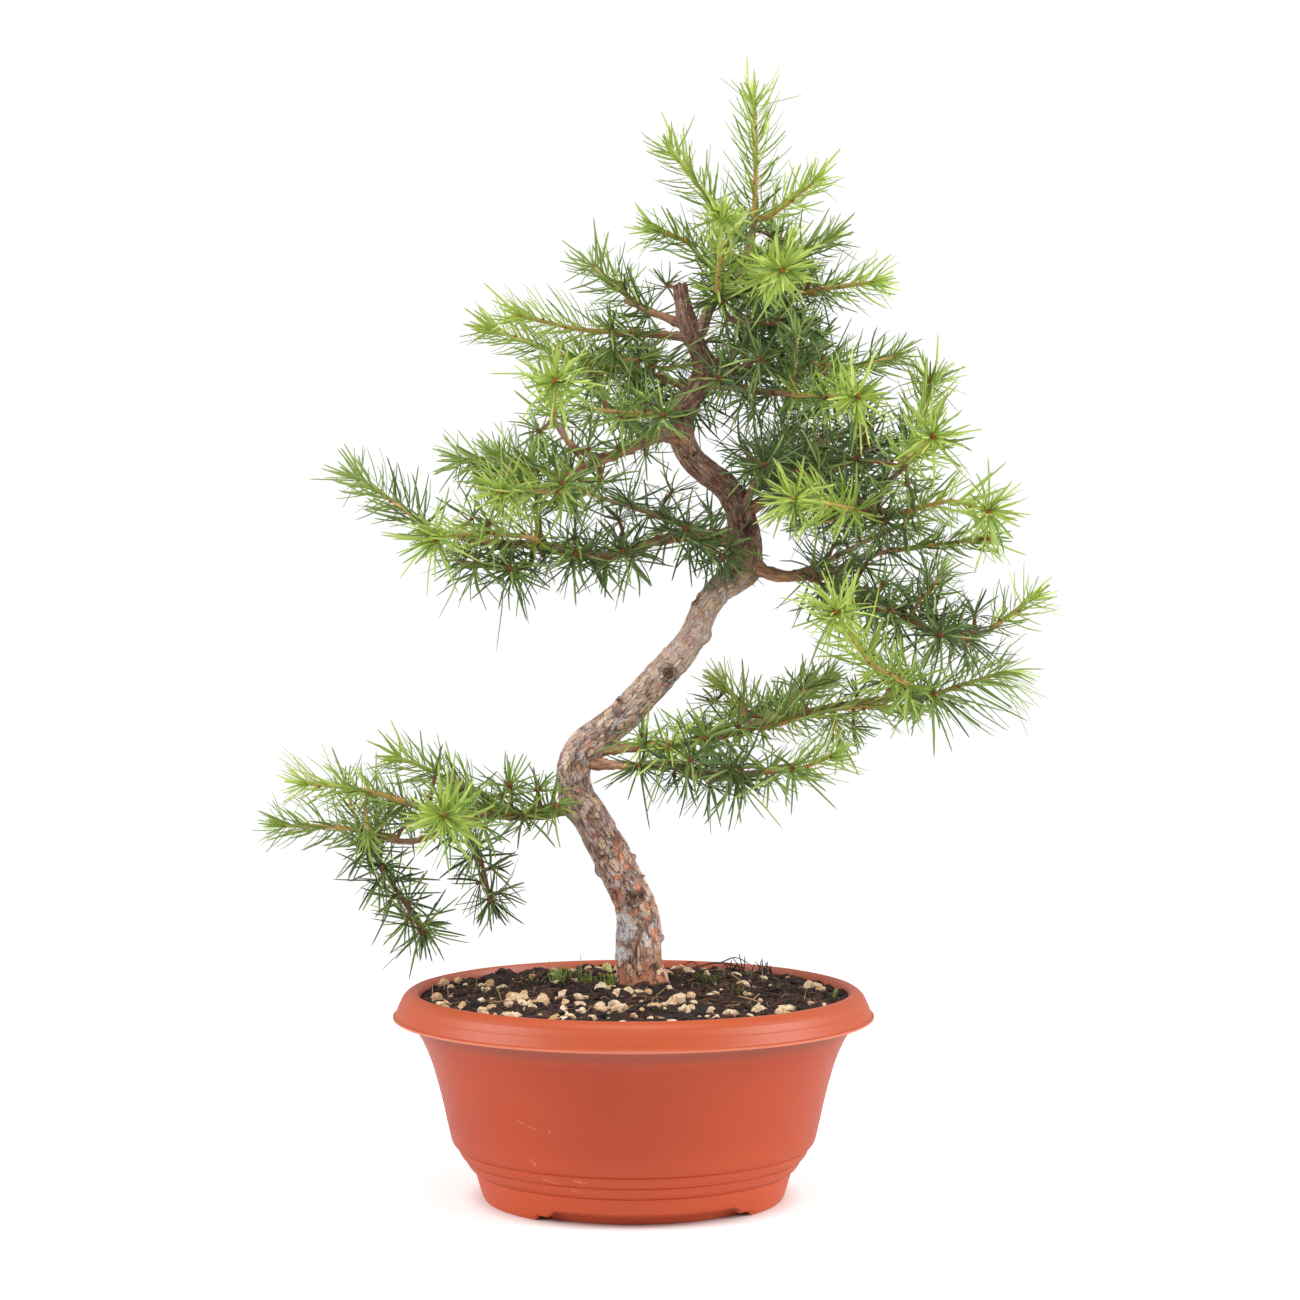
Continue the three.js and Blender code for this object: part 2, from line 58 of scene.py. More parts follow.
TOWARDS_FRONT = np.array([0.0, -1.0, 0.0])

# The tree's points are noted as [across, up, back] in millimetres: where an eye in front of the
# pot sees them against the upright plane through the pot's axis, and how far behind it they lie.
EYE = np.array([8.0, -1400.0, 299.0])
POT_LOW, POT_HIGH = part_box("pot")
POT_AXIS = np.array([0.5 * (POT_LOW.x + POT_HIGH.x), 0.5 * (POT_LOW.y + POT_HIGH.y), 0.0])

Note = Sequence[float]
Span = tuple[float, float]
Colour = tuple[float, float, float, float]


def place(notes: Any) -> np.ndarray:
    """The point, or the rows of points, in metres, of [across, up, back] notes."""
    notes = np.asarray(notes, float)
    seen = notes[..., [0, 0, 1]] * [1, 0, 1] - EYE
    return POT_AXIS + MM * (EYE + seen * (1 - notes[..., 2:3] / EYE[1]))


def front_view(points: np.ndarray) -> np.ndarray:
    """Where the eye sees points on the upright plane, in millimetres, as [across, 0, up]."""
    seen = (points - POT_AXIS) / MM - EYE
    return EYE + seen * (-EYE[1] / seen[..., 1:2])


def unit(vectors: np.ndarray) -> np.ndarray:
    """Vectors, or rows of vectors, at length one."""
    return vectors / np.maximum(np.linalg.norm(vectors, axis=-1, keepdims=True), 1e-12)


def colour(red: int, green: int, blue: int) -> Colour:
    """A linear colour from 0 to 255 display values."""
    shares = [value / 255 for value in (red, green, blue)]
    linear = [s / 12.92 if s <= 0.04045 else ((s + 0.055) / 1.055) ** 2.4 for s in shares]
    return (linear[0], linear[1], linear[2], 1.0)


# ------------------------------------------------------------------ shader recipes


class Field:
    """A shader value that takes part in Python arithmetic."""

    def __init__(self, recipe: "Recipe", socket: NodeSocket) -> None:
        """Wrap one socket of a recipe's node."""
        self.recipe = recipe
        self.socket = socket

    def _math(self, operation: str, *values: Any) -> "Field":
        """A Math node on these values."""
        node = self.recipe.node("ShaderNodeMath", {"operation": operation}, dict(enumerate(values)))
        return Field(self.recipe, node.outputs[0])

    def __add__(self, other: Any) -> "Field":
        """Sum."""
        return self._math("ADD", self, other)

    __radd__ = __add__

    def __mul__(self, other: Any) -> "Field":
        """Product."""
        return self._math("MULTIPLY", self, other)

    __rmul__ = __mul__

    def __sub__(self, other: Any) -> "Field":
        """Difference."""
        return self._math("SUBTRACT", self, other)

    def __rsub__(self, other: Any) -> "Field":
        """Difference from a plain number."""
        return self._math("SUBTRACT", other, self)

    def __pow__(self, other: Any) -> "Field":
        """Power."""
        return self._math("POWER", self, other)

    def apply(self, operation: str, *values: Any) -> "Field":
        """Any other Math operation, such as FRACT or SINE."""
        return self._math(operation, self, *values)

    def rise(self, low: float, high: float) -> "Field":
        """0 below low, 1 above high, and smooth between them."""
        sockets = {"Value": self, "From Min": low, "From Max": high}
        node = self.recipe.node("ShaderNodeMapRange", {"interpolation_type": "SMOOTHSTEP"}, sockets)
        return Field(self.recipe, node.outputs[0])

    def fall(self, low: float, high: float) -> "Field":
        """1 below low, 0 above high, and smooth between them."""
        return 1 - self.rise(low, high)

    def between(self, starts: Span, ends: Span) -> "Field":
        """0 outside, rising over one span and falling over another."""
        return self.rise(*starts) * self.fall(*ends)


class Recipe:
    """One material, built node by node."""

    def __init__(self, name: str) -> None:
        """Start a material with a bare principled surface."""
        self.material = bpy.data.materials.new(name)
        self.material.use_nodes = True
        self.tree = self.material.node_tree
        self.surface = self.tree.nodes["Principled BSDF"]

    def node(self, kind: str, settings: dict | None = None, sockets: dict | None = None) -> Any:
        """Add one node.

        Args:
            kind: The node's Blender type.
            settings: Its properties, and "stops" for a colour ramp; they are set first.
            sockets: Values, fields or sockets for its inputs, by name or number.

        Returns:
            The node.
        """
        node = self.tree.nodes.new(kind)
        for key, value in (settings or {}).items():
            if key == "stops":
                ramp = node.color_ramp
                while len(ramp.elements) < len(value):
                    ramp.elements.new(0.5)
                for element, (position, shade) in zip(ramp.elements, value):
                    element.position = position
                    element.color = shade
            else:
                setattr(node, key, value)
        for key, value in (sockets or {}).items():
            self.feed(node.inputs[key], value)
        return node

    def feed(self, socket: NodeSocket, value: Any) -> None:
        """Link a field or socket to an input, or set a plain value on it."""
        if isinstance(value, Field):
            value = value.socket
        if isinstance(value, NodeSocket):
            self.tree.links.new(value, socket)
        else:
            socket.default_value = value

    def place(self) -> NodeSocket:
        """The point in the object's own coordinates."""
        return self.node("ShaderNodeTexCoord").outputs["Object"]

    def split(self, vector: Any) -> tuple[Field, Field, Field]:
        """The three parts of a vector."""
        node = self.node("ShaderNodeSeparateXYZ", None, {0: vector})
        return tuple(Field(self, output) for output in node.outputs)

    def join(self, x: Any, y: Any, z: Any) -> NodeSocket:
        """A vector from three values."""
        return self.node("ShaderNodeCombineXYZ", None, {0: x, 1: y, 2: z}).outputs[0]

    def vectors(self, operation: str, sockets: dict, output: str = "Vector") -> NodeSocket:
        """What a Vector Math node makes of its sockets' values."""
        return self.node("ShaderNodeVectorMath", {"operation": operation}, sockets).outputs[output]

    def scaled(self, vector: Any, scale: tuple[float, float, float]) -> NodeSocket:
        """A vector stretched along its axes."""
        return self.vectors("MULTIPLY", {0: vector, 1: scale})

    def leaf_map(self) -> tuple[Field, Field]:
        """The two parts of the piece's own map."""
        return self.split(self.node("ShaderNodeUVMap", {"uv_map": MAP_NAME}).outputs[0])[:2]

    def stored(self, name: str) -> Field:
        """A value stored on the mesh's points."""
        return Field(self, self.node("ShaderNodeAttribute", {"attribute_name": name}).outputs["Fac"])

    def grain(self, vector: Any, scale: float, detail: float = 4, rough: float = 0.55) -> Field:
        """Noise from 0 to 1, about 0.5."""
        sockets = {"Vector": vector, "Scale": scale, "Detail": detail, "Roughness": rough}
        return Field(self, self.node("ShaderNodeTexNoise", None, sockets).outputs["Fac"])

    def cells(self, vector: Any, scale: float, feature: str = "F1") -> Field:
        """Distance to the nearest of scattered points, or to the edge between them."""
        sockets = {"Vector": vector, "Scale": scale}
        node = self.node("ShaderNodeTexVoronoi", {"feature": feature}, sockets)
        return Field(self, node.outputs["Distance"])

    def cell_shades(self, vector: Any, scale: float) -> Field:
        """One random value for each cell."""
        shade = self.node("ShaderNodeTexVoronoi", None, {"Vector": vector, "Scale": scale})
        return self.split(shade.outputs["Color"])[0]

    def near_line(self, point: Any, start: np.ndarray, end: np.ndarray, width: float) -> Field:
        """1 on the line from start to end, and 0 beyond a width from it.

        Args:
            point: The point that is coloured.
            start: The line's start, in metres.
            end: The line's end, in metres.
            width: How far from the line the value reaches 0, in metres.

        Returns:
            The value.
        """
        run = end - start
        step = self.vectors("SUBTRACT", {0: point, 1: tuple(start)})
        ahead = self.vectors("DOT_PRODUCT", {0: step, 1: tuple(run / (run @ run))}, "Value")
        share = Field(self, ahead).apply("MINIMUM", 1.0).apply("MAXIMUM", 0.0)
        foot = self.vectors("SCALE", {0: tuple(run), "Scale": share})
        gap = self.vectors("DISTANCE", {0: step, 1: foot}, "Value")
        return Field(self, gap).fall(0.4 * width, width)

    def mix(self, factor: Any, first: Any, second: Any) -> NodeSocket:
        """A colour mixed from two."""
        return self.node("ShaderNodeMix", {"data_type": "RGBA"}, {0: factor, 6: first, 7: second}).outputs[2]

    def layers(self, base: Any, *coats: tuple[Any, Colour]) -> NodeSocket:
        """A colour with coats laid over it in turn, each with its own strength."""
        for strength, shade in coats:
            base = self.mix(strength, base, shade)
        return base

    def ramp(self, value: Any, stops: list[tuple[float, Colour]]) -> NodeSocket:
        """A colour read off a ramp."""
        return self.node("ShaderNodeValToRGB", {"stops": stops}, {0: value}).outputs[0]

    def finish(self, height: Field | None = None, depth: float = 0.0, **sockets: Any) -> Material:
        """Dress the surface.

        Args:
            height: What the bump follows.
            depth: The bump's depth in metres.
            sockets: The surface's own sockets, with spaces as underscores.

        Returns:
            The finished material.
        """
        for key, value in sockets.items():
            self.feed(self.surface.inputs[key.replace("_", " ")], value)
        if height is not None:
            bump = self.node("ShaderNodeBump", None, {"Height": height, "Distance": depth})
            self.feed(self.surface.inputs["Normal"], bump.outputs[0])
        return self.material


MAP_NAME = "OFBake"
TINT_BANDS = 20

# On a needle's map, where its run starts and how much it takes up, and the same for its lane in a band.
RUN_START, RUN_SHARE = 0.04, 0.94
LANE_START, LANE_SHARE = 0.1, 0.8


@dataclass(frozen=True)
class BowlPlastic:
    """Moulded terracotta-coloured plastic with faint turning marks, specks and dotted scratches.

    Each span holds the heights, in metres, between which a colour comes in or fades out.
    Some colours are painted light: paler towards the foot for light bounced up from the floor,
    a lighter rim for the light from above, a painted shadow under the rim, painted glare and shade
    on the inner wall above the soil, and a painted highlight along the rim's lower edge.
    """

    body: Colour = colour(174, 60, 22)
    warm: Colour = colour(182, 68, 28)
    # painted light: paler towards the foot, for light bounced up from the floor
    pale: Colour = colour(204, 88, 48)
    # painted light: the rim made lighter for the light that falls on it from above
    rim: Colour = colour(185, 83, 46)
    # painted shadow under the rim, darkest just beneath its edge
    shade: Colour = colour(84, 22, 10)
    # painted highlight along the rim's lower edge
    painted_edge_highlight: Colour = colour(238, 154, 124)
    scuff: Colour = colour(226, 158, 134)
    # painted glare and shade on the inner wall above the soil
    inside: Colour = colour(198, 104, 78)
    painted_bounce_ends: Span = (0.008, 0.045)
    painted_light_rim_starts: Span = (0.0894, 0.0898)
    painted_shadow_starts: Span = (0.08, 0.0882)
    painted_shadow_ends: Span = (0.0891, 0.0895)
    painted_glare_starts: Span = (0.08, 0.09)
    painted_edge_highlight_starts: Span = (0.0897, 0.0901)
    painted_edge_highlight_ends: Span = (0.0908, 0.0914)
    inner_radius: float = 0.1092

    def material(self, scratches: Sequence[tuple]) -> Material:
        """Mix the plastic.

        Args:
            scratches: The start, end and width of each scratch, in metres.

        Returns:
            The finished material.
        """
        recipe = Recipe("bowl_plastic")
        point = recipe.place()
        cloud = recipe.grain(point, 9, 3)
        mottle = recipe.grain(point, 190, 5)
        pebbled = recipe.grain(point, 900, 3)
        streaks = recipe.grain(recipe.scaled(point, (14, 14, 900)), 1, 3)
        dots = recipe.grain(point, 1500, 2).rise(0.5, 0.6)
        marks = recipe.cells(point, 80).fall(0.014, 0.03) * recipe.grain(point, 21).rise(0.57, 0.63)
        for start, end, width in scratches:
            marks = marks + recipe.near_line(point, start, end, width) * dots
        marks = marks.apply("MINIMUM", 1.0)
        x, y, height = recipe.split(point)
        across, back = x - float(POT_AXIS[0]), y - float(POT_AXIS[1])
        edge = self.inner_radius**2
        within = (across * across + back * back).fall(edge * 0.985, edge)
        base = recipe.layers(
            self.body,
            (cloud.rise(0.35, 0.7), self.warm),
            # painted light: paler towards the foot, for light bounced up from the floor
            (height.fall(*self.painted_bounce_ends) * 0.8, self.pale),
            # painted light: the rim made lighter for the light that falls on it from above
            (height.rise(*self.painted_light_rim_starts) * 0.85, self.rim),
            # painted shadow under the rim, darkest just beneath its edge
            (height.between(self.painted_shadow_starts, self.painted_shadow_ends) ** 2 * 0.95, self.shade),
            # painted glare and shade on the inner wall above the soil
            (within * height.rise(*self.painted_glare_starts) * 0.85, self.inside),
            # painted highlight along the rim's lower edge
            (height.between(self.painted_edge_highlight_starts, self.painted_edge_highlight_ends) * 0.45, self.painted_edge_highlight),
            (marks * 0.7, self.scuff),
        )
        return recipe.finish(
            mottle * 0.5 + streaks * 0.8 + marks * 0.6 + pebbled * 0.4, 0.00008,
            Base_Color=base, Roughness=mottle * 0.1 + 0.37 + marks * 0.15, Specular_IOR_Level=0.43,
        )


@dataclass(frozen=True)
class GrowingMixFinish:
    """Dark crumbly peat and bark mix with red-brown fibres."""

    deep: Colour = colour(17, 12, 11)
    brown: Colour = colour(44, 29, 23)
    dry: Colour = colour(98, 66, 48)
    fibre: Colour = colour(116, 62, 42)

    def material(self) -> Material:
        """Mix the soil."""
        recipe = Recipe("growing_mix")
        point = recipe.place()
        chip = recipe.stored("tone")
        crumb = recipe.grain(point, 520, 6, 0.65)
        patch = recipe.grain(point, 60, 4)
        grit = recipe.cell_shades(point, 900)
        threads = recipe.grain(recipe.scaled(point, (1500, 260, 700)), 1, 3)
        tone = crumb * 0.8 + patch * 0.5 + chip * chip * 0.22 - 0.18
        shade = recipe.layers(
            recipe.ramp(tone, [(0.34, self.deep), (0.58, self.brown), (0.84, self.dry)]),
            (threads.rise(0.58, 0.68) * (chip * 0.5 + 0.4), self.fibre),
            (grit.rise(0.92, 0.97) * 0.35, self.dry),
        )
        return recipe.finish(crumb + grit * 0.4, 0.001, Base_Color=shade, Roughness=0.93)


@dataclass(frozen=True)
class PumiceFinish:
    """Pale porous stone, some grains stained green."""

    cream: Colour = colour(242, 220, 188)
    tan: Colour = colour(212, 168, 122)
    pit: Colour = colour(110, 76, 50)
    algae: Colour = colour(204, 196, 100)

    def material(self) -> Material:
        """Mix the stone."""
        recipe = Recipe("pumice")
        point = recipe.place()
        tone = recipe.stored("tone")
        cloud = recipe.grain(point, 330, 4)
        stain = recipe.grain(point, 700, 5, 0.7)
        pores = recipe.cells(point, 1500)
        base = recipe.layers(
            self.cream,
            (cloud.rise(0.4, 0.68), self.tan),
            (tone.fall(0.1, 0.5) * 0.85, self.tan),
            (tone.rise(0.9, 0.96) * (cloud * 0.6 + 0.4), self.algae),
            (stain.rise(0.57, 0.65) * 0.8, self.pit),
            (pores.fall(0.1, 0.28) * cloud.rise(0.42, 0.56) * 0.85, self.pit),
        )
        return recipe.finish(pores.rise(0.1, 0.4) + cloud, 0.0006, Base_Color=base, Roughness=0.88)


@dataclass(frozen=True)
class LitterFinish:
    """Dry straws, rootlets and twigs, from pale to nearly black."""

    pale: Colour = colour(190, 158, 118)
    brown: Colour = colour(120, 74, 48)
    black: Colour = colour(28, 20, 17)

    def material(self) -> Material:
        """Mix the straw."""
        recipe = Recipe("litter")
        fleck = recipe.grain(recipe.place(), 500, 3)
        stops = [(0.05, self.black), (0.45, self.brown), (0.95, self.pale)]
        shade = recipe.layers(
            recipe.ramp(recipe.stored("tone"), stops), (fleck.rise(0.45, 0.7) * 0.4, self.brown)
        )
        return recipe.finish(fleck, 0.0002, Base_Color=shade, Roughness=0.85)


@dataclass(frozen=True)
class BarkFinish:
    """Old larch bark: pinkish grey with dark fissures, silvery higher up, and red at the foot.

    The mesh carries where it is grooved, scaled, flaked, bloomed or scarred, and also its own way
    round and along, so that the flakes and fibres follow the trunk. Each span holds the heights, in
    metres, between which a colour comes in or fades out.
    """

    groove: Colour = colour(66, 42, 33)
    stone: Colour = colour(134, 122, 112)
    lens: Colour = colour(255, 220, 186)
    plate: Colour = colour(255, 214, 190)
    silver: Colour = colour(252, 240, 236)
    tan: Colour = colour(250, 204, 168)
    red: Colour = colour(214, 120, 88)
    rose: Colour = colour(244, 162, 134)
    salmon: Colour = colour(255, 172, 134)
    foot: Colour = colour(200, 120, 80)
    peat: Colour = colour(98, 56, 38)
    bloom: Colour = colour(246, 247, 252)
    scar: Colour = colour(88, 54, 38)
    upper: Colour = colour(140, 96, 74)
    foot_ends: Span = (0.134, 0.152)
    ruddy_ends: Span = (0.17, 0.21)
    pale_starts: Span = (0.235, 0.27)
    upper_starts: Span = (0.296, 0.316)

    def material(self) -> Material:
        """Mix the bark."""
        recipe = Recipe("bark")
        point = recipe.place()
        _, _, height = recipe.split(point)
        relief, scar, rust = recipe.stored("relief"), recipe.stored("scar"), recipe.stored("rust")
        turn_x, turn_y, along = recipe.stored("turn_x"), recipe.stored("turn_y"), recipe.stored("run")
        fibre = recipe.grain(recipe.join(turn_x * 8, turn_y * 8, along * 260), 1, 6, 0.7)
        strand = recipe.grain(recipe.join(turn_x * 5 + 9, turn_y * 5, along * 120), 1, 5, 0.65)
        fine = recipe.grain(point, 1100, 6, 0.75)
        patch = recipe.grain(point, 170, 5, 0.6)
        wide = recipe.grain(point, 42, 3)
        ways = recipe.join(
            turn_x * 3.2 + patch * 3 + fine * 0.6, turn_y * 3.2 + fine * 0.6, along * 190 + patch * 2.4
        )
        edge = recipe.cells(ways, 1.0, "DISTANCE_TO_EDGE")
        flake = recipe.cell_shades(ways, 1.0)
        pale, high = height.rise(*self.pale_starts), height.rise(*self.upper_starts)
        middle, ruddy = pale * (1 - high), height.fall(*self.ruddy_ends)
        low = (height + patch * 0.05).fall(*self.foot_ends)
        scale = recipe.stored("scale") + fine * 0.7 - 0.35
        ragged = (fine - 0.5) * 1.6 + (patch - 0.5) * 2.4 + (fibre - 0.5) * 1.2
        frost = (recipe.stored("bloom") + ragged * 0.6).rise(0.3, 0.5)
        mottled = (fine * 0.7 + fibre * 0.6).rise(0.56, 0.68)
        broken = patch.rise(0.42, 0.56) * (0.75 - middle * 0.4)
        base = recipe.layers(
            self.plate,
            ((wide + patch * 0.9 + flake * 0.4).rise(0.92, 1.12), self.stone),
            ((ruddy * 0.5 + 0.3) * (1 - pale) * strand.rise(0.42, 0.56), self.rose),
            (middle * 0.6, self.plate),
            (strand.rise(0.52, 0.62) * (ruddy * 0.3 + 0.3), self.red),
            (fibre.rise(0.47, 0.57) * (0.85 - high * 0.5), self.silver),
            (flake.rise(0.66, 0.8) * 0.55, self.tan),
            (flake.fall(0.14, 0.24) * (1 - pale) * 0.5, self.stone),
            (high * 0.75, self.upper),
            (high * strand.rise(0.54, 0.64) * 0.55, self.tan),
            (low * 0.85, self.foot),
            (low * strand.rise(0.52, 0.6) * 0.6, self.tan),
            (low * patch.rise(0.5, 0.62) * 0.6, self.peat),
            (scale.between((0.02, 0.18), (0.2, 0.38)) * 0.8, self.groove),
            (scale.rise(0.28, 0.44) * (0.95 - high * 0.6), self.lens),
            ((rust + ragged).rise(0.25, 0.45) * 0.7, self.red),
            ((rust + ragged * 0.6 + (fibre - 0.5)).rise(0.42, 0.66), self.salmon),
            (frost * (mottled * 0.75 + 0.22), self.bloom),
            (edge.fall(0.0, 0.11) * broken, self.groove),
            ((relief + fine * 0.5 + fibre * 0.9).fall(0.76, 1.04) * 0.6, self.groove),
            ((fibre * 0.6 + fine * 0.5).fall(0.39, 0.49) * (0.66 - middle * 0.2), self.groove),
            ((scar + fine * 0.5 - 0.25).rise(0.25, 0.7) * 0.9, self.scar),
        )
        return recipe.finish(
            relief * 0.4 + fine * 0.5 + fibre + strand * 0.5 + edge.rise(0.0, 0.2) * broken * 0.5, 0.0011,
            Base_Color=base, Roughness=0.74,
        )


@dataclass(frozen=True)
class LimbBarkFinish:
    """Bark of the limbs: red-brown to grey, in long light and dark fibres."""

    groove: Colour = colour(54, 34, 26)
    brown: Colour = colour(150, 104, 80)
    tan: Colour = colour(214, 166, 124)
    grey: Colour = colour(184, 164, 144)

    def material(self) -> Material:
        """Mix the bark."""
        recipe = Recipe("limb_bark")
        point = recipe.place()
        turn_x, turn_y, along = recipe.stored("turn_x"), recipe.stored("turn_y"), recipe.stored("run")
        fibre = recipe.grain(recipe.join(turn_x * 3.6, turn_y * 3.6, along * 130), 1, 6, 0.7)
        fine = recipe.grain(point, 1300, 5, 0.7)
        wide = recipe.grain(point, 40, 3)
        tone = recipe.stored("relief") * 0.3 + fibre * 1.15 + fine * 0.4 - 0.42
        base = recipe.layers(
            recipe.ramp(tone, [(0.2, self.groove), (0.42, self.brown), (0.72, self.tan)]),
            (wide.rise(0.46, 0.6) * fibre.rise(0.42, 0.56) * 0.7, self.grey),
        )
        return recipe.finish(fibre + fine * 0.4, 0.0009, Base_Color=base, Roughness=0.8)


@dataclass(frozen=True)
class ShootBarkFinish:
    """Young wood: golden at the growing end, red-brown where it is older."""

    old: Colour = colour(92, 62, 46)
    red: Colour = colour(144, 94, 62)
    golden: Colour = colour(208, 160, 94)
    fresh: Colour = colour(178, 176, 96)

    def material(self) -> Material:
        """Mix the young bark."""
        recipe = Recipe("young_bark")
        fleck = recipe.grain(recipe.place(), 700, 4)
        youth = recipe.stored("youth") + fleck * 0.3 - 0.15
        stops = [(0.0, self.old), (0.3, self.red), (0.55, self.golden), (0.97, self.fresh)]
        shade = recipe.layers(recipe.ramp(youth, stops), (fleck.rise(0.56, 0.7) * 0.45, self.red))
        return recipe.finish(fleck, 0.0003, Base_Color=shade, Roughness=0.6)


@dataclass(frozen=True)
class BudFinish:
    """Scaly buds, orange on the strongest shoots and dark red-brown inside the crown."""

    dark: Colour = colour(98, 54, 36)
    orange: Colour = colour(206, 118, 62)

    def material(self) -> Material:
        """Mix the bud scales."""
        recipe = Recipe("bud_scales")
        scales = recipe.cells(recipe.place(), 1100)
        shade = recipe.layers(
            self.dark, (recipe.stored("youth"), self.orange), (scales.rise(0.3, 0.7) * 0.5, self.dark)
        )
        return recipe.finish(1 - scales, 0.0004, Base_Color=shade, Roughness=0.45)


@dataclass(frozen=True)
class NeedleFinish:
    """Soft flat needles: a tint for each one, pale bands beneath, and a thin brown tip.

    The map's first part runs along the needle. Its second part holds the needle's tint band, and
    inside the band the way round its section: the upper face first, then the two under faces. A
    pale line down the middle of the upper face is a painted highlight.
    """

    name: str
    deep: Colour
    dull: Colour
    middle: Colour
    light: Colour
    tip: Colour
    under: Colour
    painted_highlight_at: float = 0.233
    under_starts: Span = (0.35, 0.39)

    def material(self) -> Material:
        """Mix the needle."""
        recipe = Recipe(self.name)
        along, lane = recipe.leaf_map()
        band = lane * TINT_BANDS
        tint = band.apply("FLOOR") * (1 / (TINT_BANDS - 1))
        round_it = band.apply("FRACT")
        stops = [(0.02, self.deep), (0.26, self.dull), (0.52, self.middle), (0.92, self.light)]
        base = recipe.layers(
            recipe.ramp(tint, stops),
            # painted highlight: a pale line down the middle of the upper face
            ((round_it - self.painted_highlight_at).apply("ABSOLUTE").fall(0.01, 0.09) * 0.4, self.light),
            (round_it.rise(*self.under_starts) * 0.35, self.under),
            (along.fall(0.02, 0.3) * 0.35, self.light),
            (along.rise(0.86, 1.0) * 0.7, self.tip),
        )
        return recipe.finish(Base_Color=base, Roughness=0.4, Specular_IOR_Level=0.36)


# ------------------------------------------------------------------ modelling helpers


def deselect_all() -> None:
    """Leave nothing selected, so that the next operator acts on the new piece only."""
    bpy.ops.object.select_all(action="DESELECT")


def choose(piece: Object) -> None:
    """Select one piece and nothing else, so that the next operator acts on it."""
    deselect_all()
    piece.select_set(True)
    bpy.context.view_layer.objects.active = piece


@contextmanager
def editing(piece: Object) -> Iterator[None]:
    """Edit mode on one piece, and back."""
    choose(piece)
    bpy.ops.object.mode_set(mode="EDIT")
    try:
        yield
    finally:
        bpy.ops.object.mode_set(mode="OBJECT")


def turned(name: str, profile: Sequence[tuple[float, float]], steps: int) -> Object:
    """Turn a profile about the pot's axis, as on a lathe.

    Args:
        name: The new piece's name.
        profile: Radius and height of each corner, in millimetres, from axis to axis.
        steps: How many steps go round.

    Returns:
        A closed piece.
    """
    deselect_all()
    bpy.ops.mesh.primitive_plane_add(size=MM)
    piece = bpy.context.object
    piece.name = name
    start = POT_AXIS + MM * np.array([profile[0][0], 0, profile[0][1]])
    with editing(piece):
        bpy.ops.mesh.merge(type="CENTER")
        bpy.ops.transform.translate(value=tuple(start))
        for (radius, height), (next_radius, next_height) in zip(profile, profile[1:]):
            step = (MM * (next_radius - radius), 0, MM * (next_height - height))
            bpy.ops.mesh.extrude_vertices_move(TRANSFORM_OT_translate={"value": step})
        bpy.ops.mesh.select_all(action="SELECT")
        bpy.ops.mesh.spin(steps=steps, angle=math.tau, center=tuple(POT_AXIS), axis=(0, 0, 1))
        bpy.ops.mesh.select_all(action="SELECT")
        bpy.ops.mesh.remove_doubles(threshold=0.02 * MM)
        bpy.ops.mesh.normals_make_consistent(inside=False)
    return piece


def corners_of(piece: Object) -> np.ndarray:
    """A piece's corners as rows."""
    flat = np.zeros(3 * len(piece.data.vertices))
    piece.data.vertices.foreach_get("co", flat)
    return flat.reshape(-1, 3)


def move_corners(piece: Object, corners: np.ndarray) -> None:
    """Put a piece's corners where these rows say."""
    piece.data.vertices.foreach_set("co", corners.ravel())
    piece.data.update()


def new_piece(name: str, corners: np.ndarray, faces: list) -> Object:
    """A piece from corners and faces.

    Args:
        name: Its name.
        corners: Its corners, in metres, as rows.
        faces: The corners of each face, by number.

    Returns:
        The piece.
    """
    mesh = bpy.data.meshes.new(name)
    mesh.from_pydata(corners.tolist(), [], faces)
    mesh.update()
    piece = bpy.data.objects.new(name, mesh)
    bpy.context.scene.collection.objects.link(piece)
    return piece


def store(piece: Object, name: str, values: np.ndarray) -> None:
    """Keep one value for each corner of a piece."""
    attribute = piece.data.attributes.new(name, "FLOAT", "POINT")
    attribute.data.foreach_set("value", values.astype(np.float32))


def smooth(piece: Object, degrees: float = 180.0) -> None:
    """Smooth shading, with sharper edges kept."""
    choose(piece)
    bpy.ops.object.shade_smooth_by_angle(angle=math.radians(degrees))


def hand_over(piece: Object, finish: Material, slot: str, *nodes: str) -> None:
    """Dress a piece and give it its place in the object.

    Args:
        piece: The finished mesh.
        finish: Its material.
        slot: The record's material slot.
        nodes: The CAD nodes that it stands for.
    """
    piece.data.materials.clear()
    piece.data.materials.append(finish)
    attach(piece, "root")
    if nodes:
        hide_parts(*nodes)
    triangles = sum(len(face.vertices) - 2 for face in piece.data.polygons)
    LOG.info("%s: %d triangles, slot %s", piece.name, triangles, slot)


Shape = tuple[np.ndarray, list]


